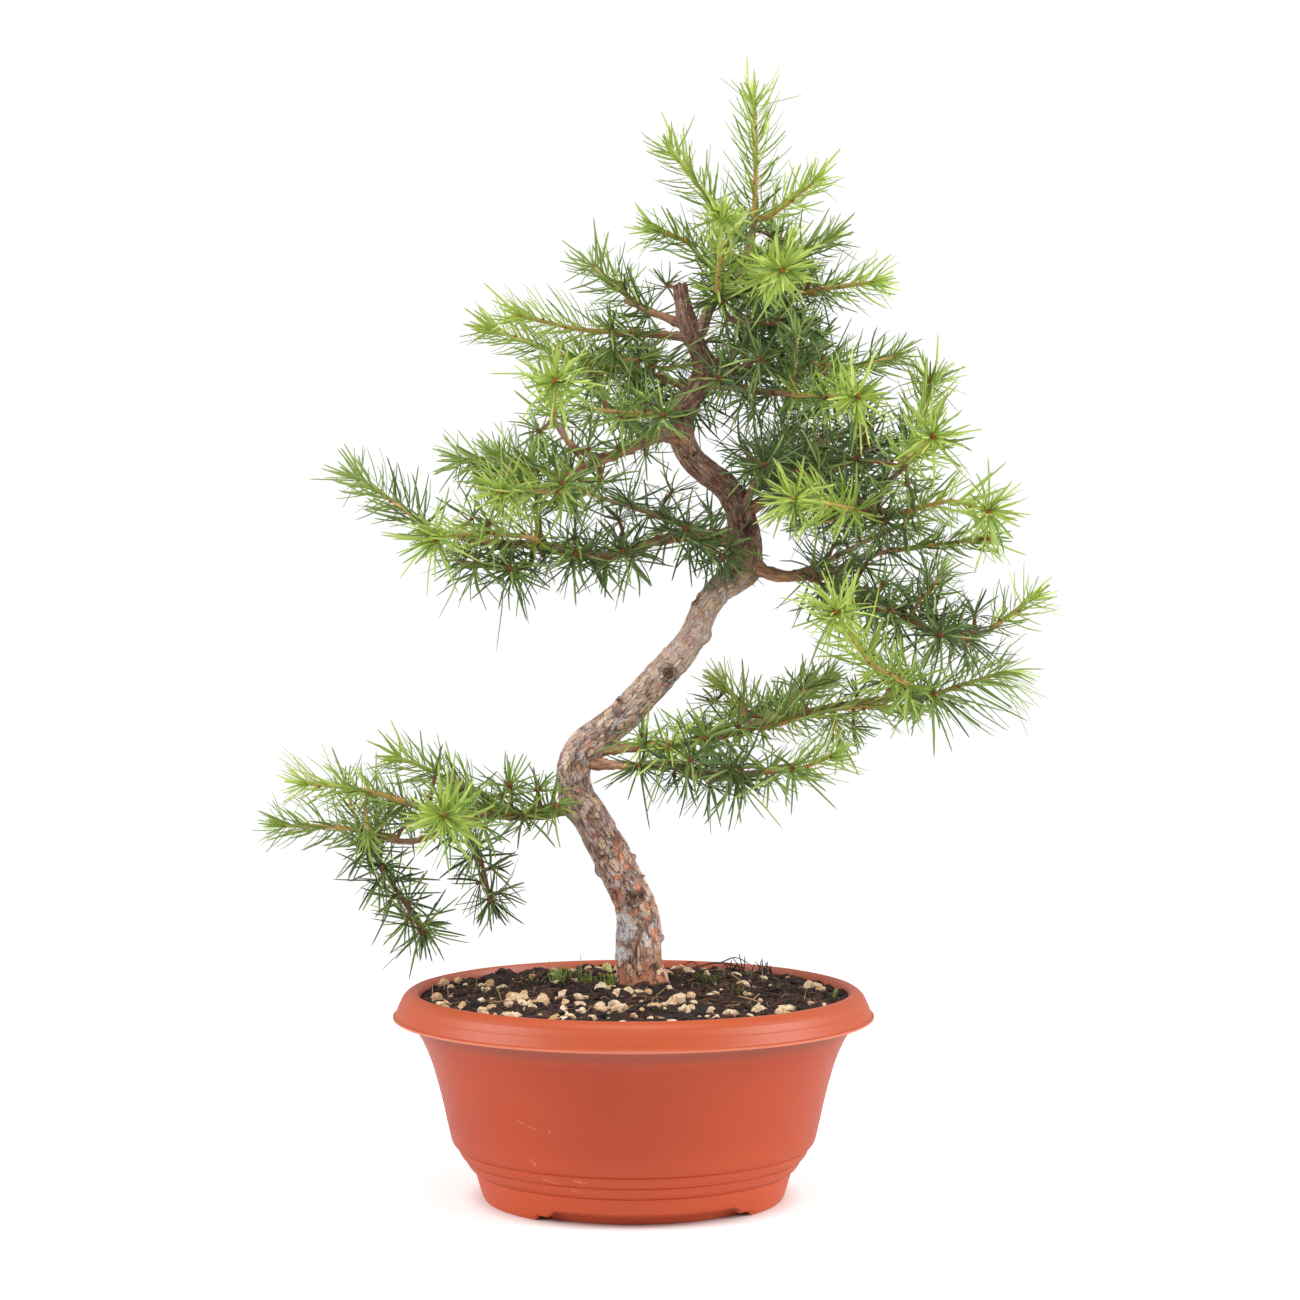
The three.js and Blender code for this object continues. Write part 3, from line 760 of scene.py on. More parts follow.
class Course:
    """A smooth course through points that each carry a radius, with a frame that doesn't twist."""

    spans: int = 24
    first_side: tuple[float, float, float] = (0.31, 0.86, 0.41)

    def __init__(self, points: np.ndarray, radii: Sequence[float], step: float) -> None:
        """Run a centripetal curve through the points and sample it evenly.

        Args:
            points: The points, in metres.
            radii: The radius at each point, in metres.
            step: The distance between samples, in metres.
        """
        padded = np.vstack([2 * points[0] - points[1], points, 2 * points[-1] - points[-2]])
        gaps = np.sqrt(np.linalg.norm(np.diff(padded, axis=0), axis=1))
        share = np.linspace(0, 1, self.spans + 1)[:-1, None]
        dense, thick = [], []
        for index in range(len(points) - 1):
            before, start, end, after = padded[index:index + 4]
            lead, own, trail = gaps[index:index + 3]
            out = ((start - before) / lead - (end - before) / (lead + own) + (end - start) / own) * own
            into = ((end - start) / own - (after - start) / (own + trail) + (after - end) / trail) * own
            curve = (
                start + out * share
                + (3 * (end - start) - 2 * out - into) * share**2
                + (2 * (start - end) + out + into) * share**3
            )
            dense.append(curve)
            thick.append(radii[index] + (radii[index + 1] - radii[index]) * share[:, 0])
        dense = np.vstack([*dense, points[-1:]])
        thick = np.append(np.concatenate(thick), radii[-1])
        run = np.append(0, np.cumsum(np.linalg.norm(np.diff(dense, axis=0), axis=1)))
        self.length = float(run[-1])
        count = max(int(round(self.length / step)) + 1, 3)
        self.run = np.linspace(0, self.length, count)
        self.centres = np.column_stack([np.interp(self.run, run, dense[:, k]) for k in range(3)])
        self.radii = np.interp(self.run, run, thick)
        self.headings = unit(np.gradient(self.centres, axis=0))
        side, sides = np.array(self.first_side), []
        for heading in self.headings:
            side = unit(side - heading * (side @ heading))
            sides.append(side)
        self.sides = np.array(sides)
        self.others = np.cross(self.headings, self.sides)

    @classmethod
    def of(cls, notes: Sequence[Note], step: float) -> "Course":
        """A course through [across, up, back, radius] notes in millimetres."""
        return cls(place(notes), [MM * note[3] for note in notes], step)

    def index_at(self, run: float) -> int:
        """The sample nearest to a distance along the course."""
        return int(round(run / self.length * (len(self.run) - 1)))

    def around(self, index: int, angle: float) -> np.ndarray:
        """The outward direction at a sample and an angle round it."""
        return self.sides[index] * math.cos(angle) + self.others[index] * math.sin(angle)

    def outward(self, sides: int) -> np.ndarray:
        """The outward direction of each corner of a tube, by sample and side."""
        angles = np.arange(sides) * math.tau / sides
        return (
            self.sides[:, None] * np.cos(angles)[None, :, None]
            + self.others[:, None] * np.sin(angles)[None, :, None]
        )


def tube_shape(course: Course, radii: np.ndarray, sides: int, cone: float = 0.5) -> Shape:
    """Corners and faces of a closed tube along a course.

    Args:
        course: What the tube follows.
        radii: The radius of each ring, or of each corner of each ring.
        sides: The corners of a ring.
        cone: How far the end caps stand out, as a share of the end radius.

    Returns:
        Corners as rows, and faces.
    """
    spread = radii if radii.ndim == 2 else np.repeat(radii[:, None], sides, axis=1)
    rings = course.centres[:, None] + course.outward(sides) * spread[..., None]
    count = len(course.run)
    ends = [
        course.centres[0] - course.headings[0] * spread[0].mean() * cone,
        course.centres[-1] + course.headings[-1] * spread[-1].mean() * cone,
    ]
    first, last, top = count * sides, count * sides + 1, (count - 1) * sides
    pairs = [(k, (k + 1) % sides) for k in range(sides)]
    faces = [
        (low + k, low + after, low + sides + after, low + sides + k)
        for low in range(0, top, sides) for k, after in pairs
    ]
    faces += [(first, after, k) for k, after in pairs]
    faces += [(last, top + k, top + after) for k, after in pairs]
    return np.vstack([rings.reshape(-1, 3), ends]), faces


class Gathering:
    """Many small shapes that become one piece."""

    def __init__(self) -> None:
        """Start empty."""
        self.corners: list[np.ndarray] = []
        self.faces: list = []
        self.tones: list[np.ndarray] = []
        self.count = 0

    def add(self, corners: np.ndarray, faces: Sequence[Sequence[int]], tone: Any) -> None:
        """Add one shape, with a tone for all of it or for each corner.

        Args:
            corners: Its corners, in metres, as rows.
            faces: The corners of each face, by number.
            tone: The value that its finish reads, one for all of it or one for each corner.
        """
        self.corners.append(corners)
        self.faces += [tuple(corner + self.count for corner in face) for face in faces]
        self.tones.append(np.broadcast_to(np.asarray(tone, float), (len(corners),)))
        self.count += len(corners)

    def piece(self, name: str, attribute: str) -> Object:
        """One piece from all the shapes, with the tones under a name."""
        made = new_piece(name, np.vstack(self.corners), self.faces)
        store(made, attribute, np.concatenate(self.tones))
        return made


def lump_shape(detail: int) -> Shape:
    """Corners and faces of a ball of one millimetre radius, to be copied and dented.

    Args:
        detail: How finely it is divided.

    Returns:
        Corners as rows, and faces.
    """
    deselect_all()
    bpy.ops.mesh.primitive_ico_sphere_add(subdivisions=detail, radius=1)
    ball = bpy.context.object
    corners = corners_of(ball) * MM
    faces = [tuple(face.vertices) for face in ball.data.polygons]
    bpy.data.objects.remove(ball)
    return corners, faces


def turn_matrix(rng: np.random.Generator, tilt: float) -> np.ndarray:
    """A random turn: all the way round, and up to tilt away from upright.

    Args:
        rng: What draws the turn.
        tilt: The largest lean, in radians.

    Returns:
        The matrix of the turn.
    """
    spin, lean, way = rng.uniform(0, math.tau), rng.uniform(-tilt, tilt), rng.uniform(0, math.tau)
    flat = np.array([[math.cos(spin), -math.sin(spin), 0], [math.sin(spin), math.cos(spin), 0], [0, 0, 1]])
    x, y = math.cos(way), math.sin(way)
    cross = np.array([[0, 0, y], [0, 0, -x], [-y, x, 0]])
    return (np.eye(3) + math.sin(lean) * cross + (1 - math.cos(lean)) * cross @ cross) @ flat


# ------------------------------------------------------------------ needles


@dataclass(frozen=True)
class BladeShape:
    """How a needle narrows along its length, as shares of its length and width."""

    stations: tuple[float, ...] = (0.0, 0.3, 0.62, 0.92)
    widths: tuple[float, ...] = (0.6, 1.0, 0.95, 0.6)
    thickness: float = 0.6


NEEDLE = BladeShape()
LEAFLET = BladeShape((0.0, 0.45), (0.5, 1.0), 0.4)


class Blades:
    """Needles gathered for one piece."""

    def __init__(self) -> None:
        """Start empty."""
        self.rows: list[tuple] = []

    def add(
        self, foot: np.ndarray, heading: np.ndarray, face: np.ndarray, bend: np.ndarray,
        length: float, width: float, tint: float,
    ) -> None:
        """Add one needle.

        Args:
            foot: Where it grows from.
            heading: The way that it sets out.
            face: The way that its upper face looks.
            bend: How far its tip leaves a straight line, as shares of its length.
            length: Its length in metres.
            width: Its width in metres.
            tint: 0 for the deepest green, 1 for the lightest.
        """
        self.rows.append((*foot, *heading, *face, *bend, length, width, tint))

    def piece(self, name: str, shape: BladeShape = NEEDLE) -> Object:
        """One mesh of all the needles, with its map: two edges and a keel beneath.

        Args:
            name: The new piece's name.
            shape: The outline and thickness of each needle or leaflet.

        Returns:
            The piece.
        """
        rows = np.array(self.rows)
        foot, heading, face, bend = (rows[:, k:k + 3] for k in (0, 3, 6, 9))
        length, width, tint = rows[:, 12], rows[:, 13], rows[:, 14]
        heading = unit(heading)
        side = unit(np.cross(heading, face))
        face = np.cross(side, heading)
        stations, shares = np.array(shape.stations), np.array(shape.widths)
        rings, count, run = len(stations), len(rows), stations[None, :, None]
        centre = foot[:, None] + length[:, None, None] * (heading[:, None] * run + bend[:, None] * run**2)
        half = (0.5 * width[:, None] * shares[None])[..., None]
        across, through = side[:, None] * half, face[:, None] * half * shape.thickness
        section = np.stack([centre - across, centre + across, centre - through], 2)
        tips = foot + length[:, None] * (heading + bend)
        corners = np.concatenate([section.reshape(count, -1, 3), tips[:, None]], 1)
        per = 3 * rings + 1
        faces, marks = [], []
        for ring in range(rings - 1):
            for k in range(3):
                low, high = 3 * ring, 3 * ring + 3
                faces.append((low + k, low + (k + 1) % 3, high + (k + 1) % 3, high + k))
                near, far = stations[ring], stations[ring + 1]
                marks += [(near, k), (near, k + 1), (far, k + 1), (far, k)]
        last = 3 * (rings - 1)
        for k in range(3):
            faces.append((last + k, last + (k + 1) % 3, 3 * rings))
            marks += [(stations[-1], k), (stations[-1], k + 1), (1.0, k + 0.5)]
        faces.append((2, 1, 0))
        # the foot's own face lies in the margin before the needle's run
        marks += [(-0.02, 0.9), (-0.02, 2.1), (-0.005, 1.5)]
        made = new_piece(
            name, corners.reshape(-1, 3),
            [tuple(corner + per * n for corner in face_) for n in range(count) for face_ in faces],
        )
        marks = np.array(marks)
        lowest, highest = 1, TINT_BANDS - 2
        band = np.clip(np.floor(tint * TINT_BANDS), lowest, highest)
        # The first two needles take the end bands, so that every piece's map spans the same ones.
        band[:2] = (lowest, highest)
        chart = made.data.uv_layers.new(name=MAP_NAME)
        along = np.broadcast_to(RUN_START + RUN_SHARE * marks[:, 0], (count, len(marks)))
        lanes = (band[:, None] + LANE_START + LANE_SHARE / 3 * marks[None, :, 1]) / TINT_BANDS
        chart.data.foreach_set("uv", np.stack([along, lanes], 2).ravel().astype(np.float32))
        return made


class Tone(Enum):
    """The three ages of foliage, by their record slot; the darker colours are partly painted shade for the
    crown's inside.
    """

    FRESH = "needles_fresh"
    MID = "needles_mid"
    # partly painted shade: darker for the inside of the crown, as well as for older needles
    SHADED = "needles_dark"


class Habit(Enum):
    """How a shoot carries its needles."""

    LONG = "single needles in a spiral up a long shoot"
    EYE = "a long shoot that points at the front and ends in an open crown"
    SPURS = "rosettes on short spurs along an older twig"
    HANGING = "a long shoot whose needles droop"


# The deep, dull, middle, light, tip and under colours of each kind of needle. The deep colours of the
# mid and dark needles are partly painted shade, darkened for the dense inside of the crown.
NEEDLE_COLOURS = {
    "needles_fresh": [
        (48, 76, 28), (90, 124, 54), (124, 158, 56), (190, 208, 102), (168, 136, 84), (156, 176, 86),
    ],
    "needles_mid": [
        (22, 40, 14), (78, 108, 58), (108, 140, 54), (166, 188, 92), (136, 104, 70), (128, 150, 88),
    ],
    "needles_dark": [
        (10, 22, 8), (50, 76, 42), (80, 110, 44), (160, 182, 100), (104, 78, 54), (116, 138, 98),
    ],
    "moss": [
        (44, 50, 26), (70, 82, 34), (96, 116, 48), (164, 186, 92), (172, 186, 100), (96, 112, 56),
    ],
}


def needle_finish(name: str) -> Material:
    """The finish of one kind of needle."""
    return NeedleFinish(name, *(colour(*shade) for shade in NEEDLE_COLOURS[name])).material()


@dataclass(frozen=True)
class Shoot:
    """One shoot: its name, tone, habit, stems, needle length, and painted light: how much lighter its needles
    are made where the crown shades them.
    """

    name: str
    tone: Tone
    habit: Habit
    stems: tuple
    reach: float = 18.0
    painted_light: float = 0.0


FRESH, MID, SHADED = Tone.FRESH, Tone.MID, Tone.SHADED
LONG, EYE_ON, SPURS, HANGING = Habit.LONG, Habit.EYE, Habit.SPURS, Habit.HANGING

# Each stem's points are [across, up, back], from its foot to its tip.
SHOOTS = [
    Shoot("apex_leader", FRESH, LONG, ([[60, 486, -3], [61, 520, -7], [60, 545, -8]],), 21),
    Shoot("top_right", FRESH, LONG, ([[66, 488, -8], [80, 498, -20], [90, 506, -28]],), 19),
    Shoot("top_left", FRESH, LONG, ([[46, 486, 4], [32, 504, 10], [19, 521, 11]],), 20),
    Shoot("front_upright", FRESH, LONG, ([[42, 452, -22], [43, 470, -39], [44, 486, -50]],), 20),
    Shoot("upper_left_short", MID, LONG, ([[38, 464, 8], [25, 477, 3], [12, 481, -6]],), 20),
    Shoot("crown_eye", FRESH, EYE_ON, ([[62, 457, -28], [70, 461, -56], [74, 462, -78]],), 25),
    Shoot("upper_right", MID, LONG, ([[72, 462, 8], [88, 472, 17], [97, 477, 20]],), 20),
    Shoot("right_reach", FRESH, LONG, ([[84, 451, -13], [104, 454, -20], [119, 456, -25]],), 19),
    Shoot("left_a", MID, LONG, ([[10, 440, 11], [-4, 450, 22], [-20, 464, 34]],), 22),
    Shoot("left_b", FRESH, LONG, ([[4, 431, -8], [-22, 432, -15], [-57, 439, -22]],), 20),
    Shoot("left_c", FRESH, LONG, ([[-2, 412, 20], [-32, 419, 34], [-72, 433, 48]],), 20),
    Shoot("left_eye", FRESH, EYE_ON, ([[-40, 390, -70], [-39, 402, -92], [-39, 407, -103]],), 25),
    Shoot("left_low", MID, SPURS, ([[14, 390, -31], [-4, 391, -39], [-22, 393, -48]],), 25),
    Shoot("mid_left_twig", MID, LONG, ([[-38, 360, -40], [-62, 366, -18], [-86, 368, 2]],), 20),
    Shoot("mid_left_eye", FRESH, EYE_ON, ([[-34, 352, -48], [-52, 352, -56], [-66, 352, -64]],), 23),
    Shoot("long_left_eye", FRESH, EYE_ON, ([[-48, 328, -36], [-76, 331, -45], [-99, 328, -56]],), 23),
    Shoot("long_left_far", MID, LONG, ([[-104, 334, -14], [-120, 347, -3], [-137, 358, 8]],), 23),
    Shoot("long_left_spurs", SHADED, SPURS, ([[-52, 315, -26], [-68, 314, -30], [-86, 317, -28]],), 25),
    Shoot("long_left_inner", SHADED, SPURS, ([[-36, 322, -8], [-16, 318, -20], [0, 322, -28]],), 25),
    Shoot("trunk_front", SHADED, SPURS, ([[20, 332, -20], [34, 326, -20], [46, 319, -18]],), 25),
    Shoot("right_upper", MID, LONG, ([[88, 411, 20], [112, 415, 28], [130, 419, 35]],), 20),
    Shoot("right_middle_eye", FRESH, EYE_ON, ([[80, 400, -31], [98, 399, -53], [112, 399, -76]],), 23),
    Shoot(
        "right_far_pair", FRESH, EYE_ON,
        (
            [[134, 364, -42], [143, 373, -64], [149, 379, -81]],
            [[135, 368, -28], [143, 388, -6], [148, 406, 5]],
        ),
        23,
    ),
    Shoot("right_front_eye", FRESH, EYE_ON, ([[112, 342, -59], [96, 346, -87], [80, 348, -101]],), 22),
    Shoot("right_out_eye", FRESH, EYE_ON, ([[138, 342, -39], [158, 347, -53], [177, 342, -67]],), 23),
    Shoot("right_low", MID, LONG, ([[126, 322, -3], [148, 325, -3], [172, 328, -8]],), 18),
    Shoot(
        "crown_heart", SHADED, SPURS,
        ([[60, 366, -25], [78, 362, -34], [100, 362, -28], [118, 375, -20]],), 26,
    ),
    Shoot("crown_inner_top", SHADED, SPURS, ([[44, 408, -10], [58, 416, -18], [72, 422, -18]],), 25),
    Shoot("crown_upper_fill", SHADED, SPURS, ([[48, 438, -20], [66, 436, -28], [86, 432, -25]],), 25),
    Shoot("low_crown_inner", SHADED, SPURS, ([[84, 310, -16], [102, 302, -22], [120, 294, -26]],), 26),
    Shoot("low_crown_spurs", SHADED, SPURS, ([[134, 290, -20], [152, 281, -20], [168, 278, -17]],), 26),
    Shoot("low_crown_tip", FRESH, LONG, ([[178, 283, -8], [190, 292, -11], [198, 298, -14]],), 19),
    Shoot("low_crown_eye", FRESH, EYE_ON, ([[138, 255, -39], [118, 267, -70], [101, 292, -99]],), 24),
    # The last numbers of these lower right shoots are painted light: their needles are made lighter where the
    # crown above shades them.
    Shoot("low_right_foot", FRESH, SPURS, ([[2, 226, -17], [20, 226, -22], [38, 232, -20]],), 19, 0.2),
    Shoot("low_right_sub_a", FRESH, LONG, ([[57, 236, 6], [54, 246, 14], [45, 255, 20]],), 20, 0.3),
    Shoot(
        "low_right_middle", MID, LONG,
        ([[64, 234, -17], [100, 243, -14], [138, 245, -8]], [[74, 241, -8], [86, 252, 11], [96, 258, 20]]),
        19, 0.4,
    ),
    Shoot("low_right_tip", MID, HANGING, ([[148, 250, 3], [166, 256, -3], [182, 261, -6]],), 32),
    Shoot("low_right_under_a", SHADED, SPURS, ([[20, 214, -34], [38, 209, -39], [54, 208, -42]],), 26),
    Shoot("low_right_under_b", MID, LONG, ([[66, 212, -48], [84, 214, -53], [99, 220, -59]],), 21, 0.2),
    Shoot("low_left_base", MID, LONG, ([[-42, 194, -3], [-56, 192, -11], [-72, 193, -17]],), 20),
    Shoot("low_left_eye", FRESH, EYE_ON, ([[-84, 190, -50], [-92, 190, -76], [-95, 190, -96]],), 25),
    Shoot("low_left_upper", FRESH, LONG, ([[-80, 203, 11], [-98, 211, 20], [-117, 219, 28]],), 22),
    Shoot("low_left_reach", FRESH, LONG, ([[-114, 197, -20], [-136, 203, -25], [-164, 206, -28]],), 20),
    Shoot("low_left_lowest", MID, LONG, ([[-118, 179, -3], [-146, 184, -6], [-175, 185, -11]],), 19),
    Shoot("low_left_hang_a", SHADED, SPURS, ([[-128, 166, 8], [-118, 152, 11], [-106, 132, 11]],), 24),
    Shoot("low_left_hang_b", SHADED, SPURS, ([[-84, 182, 3], [-76, 166, 8], [-72, 148, 8]],), 23),
    Shoot("back_top", MID, LONG, ([[58, 457, 20], [66, 462, 34], [78, 470, 50]],), 22),
    Shoot("back_low_crown", SHADED, SPURS, ([[104, 321, 26], [118, 328, 42], [136, 336, 62]],), 25),
    Shoot("back_low_right", MID, LONG, ([[56, 240, 20], [74, 247, 36], [94, 256, 52]],), 15, 0.4),
    Shoot("back_upper", SHADED, SPURS, ([[44, 410, 44], [52, 422, 66], [60, 432, 90]],), 25),
    Shoot("back_right", SHADED, SPURS, ([[82, 366, 46], [96, 376, 68], [108, 384, 92]],), 25),
    Shoot("back_left", SHADED, SPURS, ([[12, 340, 46], [-8, 346, 68], [-30, 354, 90]],), 25),
]


@dataclass(frozen=True)
class Rosette:
    """One rosette that shows plainly: whose it is, where its bud lies, its reach and its strength."""

    shoot: str
    spot: tuple[float, float, float]
    reach: float
    lightness: float
    lean: tuple[float, float, float] = (0.0, -1.0, 0.25)


ROSETTES = [
    Rosette("front_upright", (44.5, 489, -50), 17, 0.75),
    Rosette("left_low", (14.5, 390, -42), 21, 0.45),
    Rosette("mid_left_twig", (-35.5, 355.5, -58), 20, 0.7),
    Rosette("long_left_spurs", (-61.5, 313.5, -40), 21, 0.4),
    Rosette("long_left_spurs", (-78.5, 317.5, -38), 20, 0.5),
    Rosette("long_left_spurs", (-29, 320.5, -38), 20, 0.4),
    Rosette("long_left_inner", (-5, 322, -40), 20, 0.35),
    Rosette("long_left_inner", (26.5, 333.5, -32), 20, 0.3),
    Rosette("trunk_front", (44, 319.5, -30), 20, 0.3, (-0.25, -0.6, -0.9)),
    Rosette("crown_inner_top", (42.5, 408, -34), 22, 0.35),
    Rosette("crown_heart", (65.5, 365, -48), 23, 0.3),
    Rosette("crown_heart", (90, 356, -52), 22, 0.4),
    Rosette("crown_heart", (110.5, 368, -52), 21, 0.3),
    Rosette("crown_inner_top", (63, 417.5, -40), 22, 0.35),
    Rosette("low_crown_inner", (125, 337, -50), 22, 0.2),
    Rosette("right_low", (177, 329, -18), 17, 0.95, (0.5, -1.0, -0.1)),
    Rosette("low_crown_inner", (128, 292.5, -38), 22, 0.35),
    Rosette("low_crown_spurs", (153, 280.5, -36), 22, 0.25),
    Rosette("low_right_foot", (18, 224.5, -36), 21, 0.85, (0.1, -1.0, 0.5)),
    Rosette("low_right_middle", (35.5, 228.5, -34), 20, 0.55),
    Rosette("low_right_under_a", (3, 214.5, -30), 20, 0.35, (0.0, -0.8, -0.5)),
    Rosette("low_right_under_a", (28.5, 218, -48), 23, 0.3, (0.0, -1.0, -0.1)),
    Rosette("low_right_under_a", (53, 213, -52), 23, 0.3, (0.0, -0.8, -0.4)),
    Rosette("low_right_under_b", (79, 214, -60), 22, 0.4, (0.0, -0.9, -0.3)),
    Rosette("low_right_tip", (150, 251.5, -14), 24, 0.55, (0.2, -0.8, -0.3)),
    Rosette("low_left_hang_a", (-134, 172.5, 0), 18, 0.35, (-0.3, -1.0, -0.1)),
    Rosette("low_left_hang_a", (-125.5, 164.5, 0), 18, 0.35, (0.4, -0.9, 0.0)),
    Rosette("low_left_hang_a", (-105.5, 132.5, 6), 20, 0.4, (0.2, -0.7, -0.6)),
    Rosette("low_left_hang_b", (-71.5, 148, 4), 18, 0.4, (0.1, -0.7, -0.5)),
    Rosette("low_left_base", (-62, 205, -12), 20, 0.6, (0.0, -0.6, 0.8)),
    Rosette("low_left_base", (-48, 203, -8), 20, 0.5, (0.2, -0.6, 0.8)),
    Rosette("low_left_base", (-39, 195, -14), 16, 0.7, (0.9, -0.8, 0.1)),
]


# ------------------------------------------------------------------ the wood

TRUNK = [
    [5, 84, 17, 15.5], [4, 104, 15, 13.2], [3, 113, 15, 11.8], [1, 143, 14, 10.6],
    [-8, 164, 12, 9.6], [-19, 185, 10, 8.8], [-28, 200, 8, 8.6], [-30, 212, 7, 8.6],
    [-26, 222, 6, 8.5], [-5, 240, 3, 8.2], [13, 260, 0, 7.8], [28, 277, -2, 7.2],
    [36, 294, -2, 6.8], [43, 303, -1, 6.6], [54, 313, 0, 8.6], [56, 327, 1, 7.6],
    [52, 343, 2, 6.6], [46, 354, 3, 6.4], [37, 361, 3, 6.2], [28, 370, 3, 6],
    [24, 380, 2, 5.8], [24, 392, 1, 5.6], [29, 400, 0, 5.4], [34, 409, 0, 5.2],
    [34, 418, 0, 4.8], [30, 428, -1, 4.6], [26, 439, -2, 4.2], [23, 455, -3, 3.4],
]

LIMBS = [
    # towards the apex
    [[33, 431, -1, 3.6], [38, 443, -6, 3], [43, 450, -8, 2.8], [56, 468, -6, 2.6], [60, 488, -3, 2.2]],
    # top of the crown, to the right
    [[40, 448, -8, 2.6], [62, 452, -11, 2.2], [88, 452, -14, 1.7]],
    # upper left
    [[28, 434, -1, 3], [12, 440, 8, 2.4], [-4, 447, 21, 1.8]],
    [[30, 428, -1, 2.8], [10, 430, -7, 2.3], [-12, 430, -13, 1.7]],
    [[31, 402, 0, 2.8], [12, 409, 13, 2.4], [-14, 413, 25, 1.8]],
    # the curled branch to the middle left and its riser
    [
        [25, 377, 3, 4.8], [15, 380, -11, 4.2], [2, 375, -21, 3.7],
        [-10, 370, -28, 3.2], [-24, 364, -34, 2.7], [-42, 355, -46, 2.2],
    ],
    [[-14, 368, -29, 2.2], [-30, 374, -48, 2], [-40, 388, -67, 1.7]],
    # the long branch to the left
    [
        [52, 330, 1, 4.4], [40, 330, -8, 3.8], [14, 328, -17, 3.4], [-13, 320, -22, 3],
        [-44, 325, -28, 2.6], [-75, 327, -34, 2.2], [-106, 334, -17, 1.7],
    ],
    # crown branches to the right
    [
        [53, 341, 3, 3.8], [74, 350, -11, 3.2], [100, 352, -22, 2.8],
        [124, 342, -34, 2.4], [140, 342, -36, 1.8],
    ],
    [[120, 345, -32, 2.2], [129, 358, -36, 1.9], [138, 368, -53, 1.6]],
    [[31, 406, 0, 3], [54, 403, -11, 2.5], [80, 400, -28, 1.8]],
    [[34, 417, 0, 3], [60, 412, 8, 2.6], [95, 411, 20, 1.8]],
    # the lowest branch of the crown, to the right
    [
        [56, 316, 0, 4.6], [72, 310, -6, 3.8], [94, 310, -11, 3.2], [112, 303, -13, 2.8],
        [132, 292, -11, 2.6], [153, 281, -8, 2.2], [178, 282, -7, 1.6],
    ],
    # the two limbs to the lower right
    [
        [-22, 222, 6, 3.2], [0, 224, -8, 2.9], [22, 226, -17, 3], [52, 232, -17, 2.6],
        [74, 239, -11, 2.4], [108, 246, -11, 2.1], [150, 251, -8, 1.5],
    ],
    [[-20, 216, 3, 3.2], [0, 215, -17, 2.8], [20, 215, -28, 2.6], [48, 210, -36, 2.3], [78, 215, -48, 1.8]],
    # the branch to the lower left
    [
        [-28, 196, 11, 4.2], [-44, 191, 0, 3.6], [-62, 190, -10, 3.1],
        [-84, 192, -17, 2.6], [-104, 194, -18, 2.2], [-122, 199, -20, 1.7],
    ],
    [[-78, 192, -15, 2.4], [-96, 182, -8, 2.1], [-114, 177, -3, 1.9], [-136, 183, -4, 1.6]],
    # short side branches that carry the outer shoots
    [[56, 345, 0, 2.4], [60, 356, -17, 1.9], [66, 366, -28, 1.5]],
    [[24, 392, 0, 2.4], [14, 391, -20, 1.8], [2, 391, -28, 1.5]],
    [[126, 249, -10, 1.9], [128, 256, -26, 1.6], [120, 266, -48, 1.4]],
    [[-70, 191, -13, 2.2], [-84, 190, -34, 1.9], [-90, 190, -50, 1.6]],
    [[-128, 180, -4, 1.6], [-130, 172, 3, 1.4], [-126, 164, 8, 1.3]],
    [[-82, 191, -15, 1.6], [-84, 182, -3, 1.4], [-82, 176, 3, 1.3]],
    [[-62, 191, -10, 2], [-76, 201, 6, 1.7], [-90, 208, 14, 1.4]],
    [[58, 233, -15, 1.6], [57, 238, -3, 1.4], [55, 244, 6, 1.3]],
    [[120, 345, -31, 2], [112, 342, -50, 1.7], [100, 345, -70, 1.4]],
    [[96, 310, -11, 2.2], [112, 318, -6, 1.8], [130, 323, -3, 1.5]],
    [[129, 358, -36, 1.6], [134, 368, -25, 1.4], [138, 378, -11, 1.3]],
    [[56, 466, -6, 1.8], [66, 464, 3, 1.5], [76, 465, 11, 1.3]],
    # the branches behind the crown
    [[28, 396, 3, 3], [36, 402, 34, 2.4], [46, 412, 70, 1.8]],
    [[50, 347, 6, 3.2], [66, 356, 36, 2.6], [84, 368, 73, 1.8]],
    [[54, 322, 4, 3.4], [34, 332, 36, 2.8], [8, 341, 70, 1.9]],
    [[50, 460, -7, 2], [54, 456, 14, 1.7], [60, 458, 36, 1.4]],
    [[80, 310, -8, 2.6], [94, 316, 17, 2.1], [108, 323, 42, 1.6]],
    [[36, 228, -17, 2], [46, 234, 11, 1.8], [60, 242, 34, 1.5]],
]


class Blemish(Enum):
    """What can mark the trunk."""

    KNOT = "a dark hollow in a raised ring"
    STUB = "a short cut stub"
    RUST = "an orange flake"
    BLOOM = "a pale bluish crust"
    CRACK = "a dark crack"
    SCALE = "a light lens-shaped scale"


@dataclass(frozen=True)
class Mark:
    """One mark: its kind, its middle and half its width and height as seen from the front.

    The sizes are in millimetres and the lean in degrees, turning clockwise from upright.
    """

    kind: Blemish
    across: float
    up: float
    wide: float
    tall: float
    lean: float = 0.0
    behind: bool = False


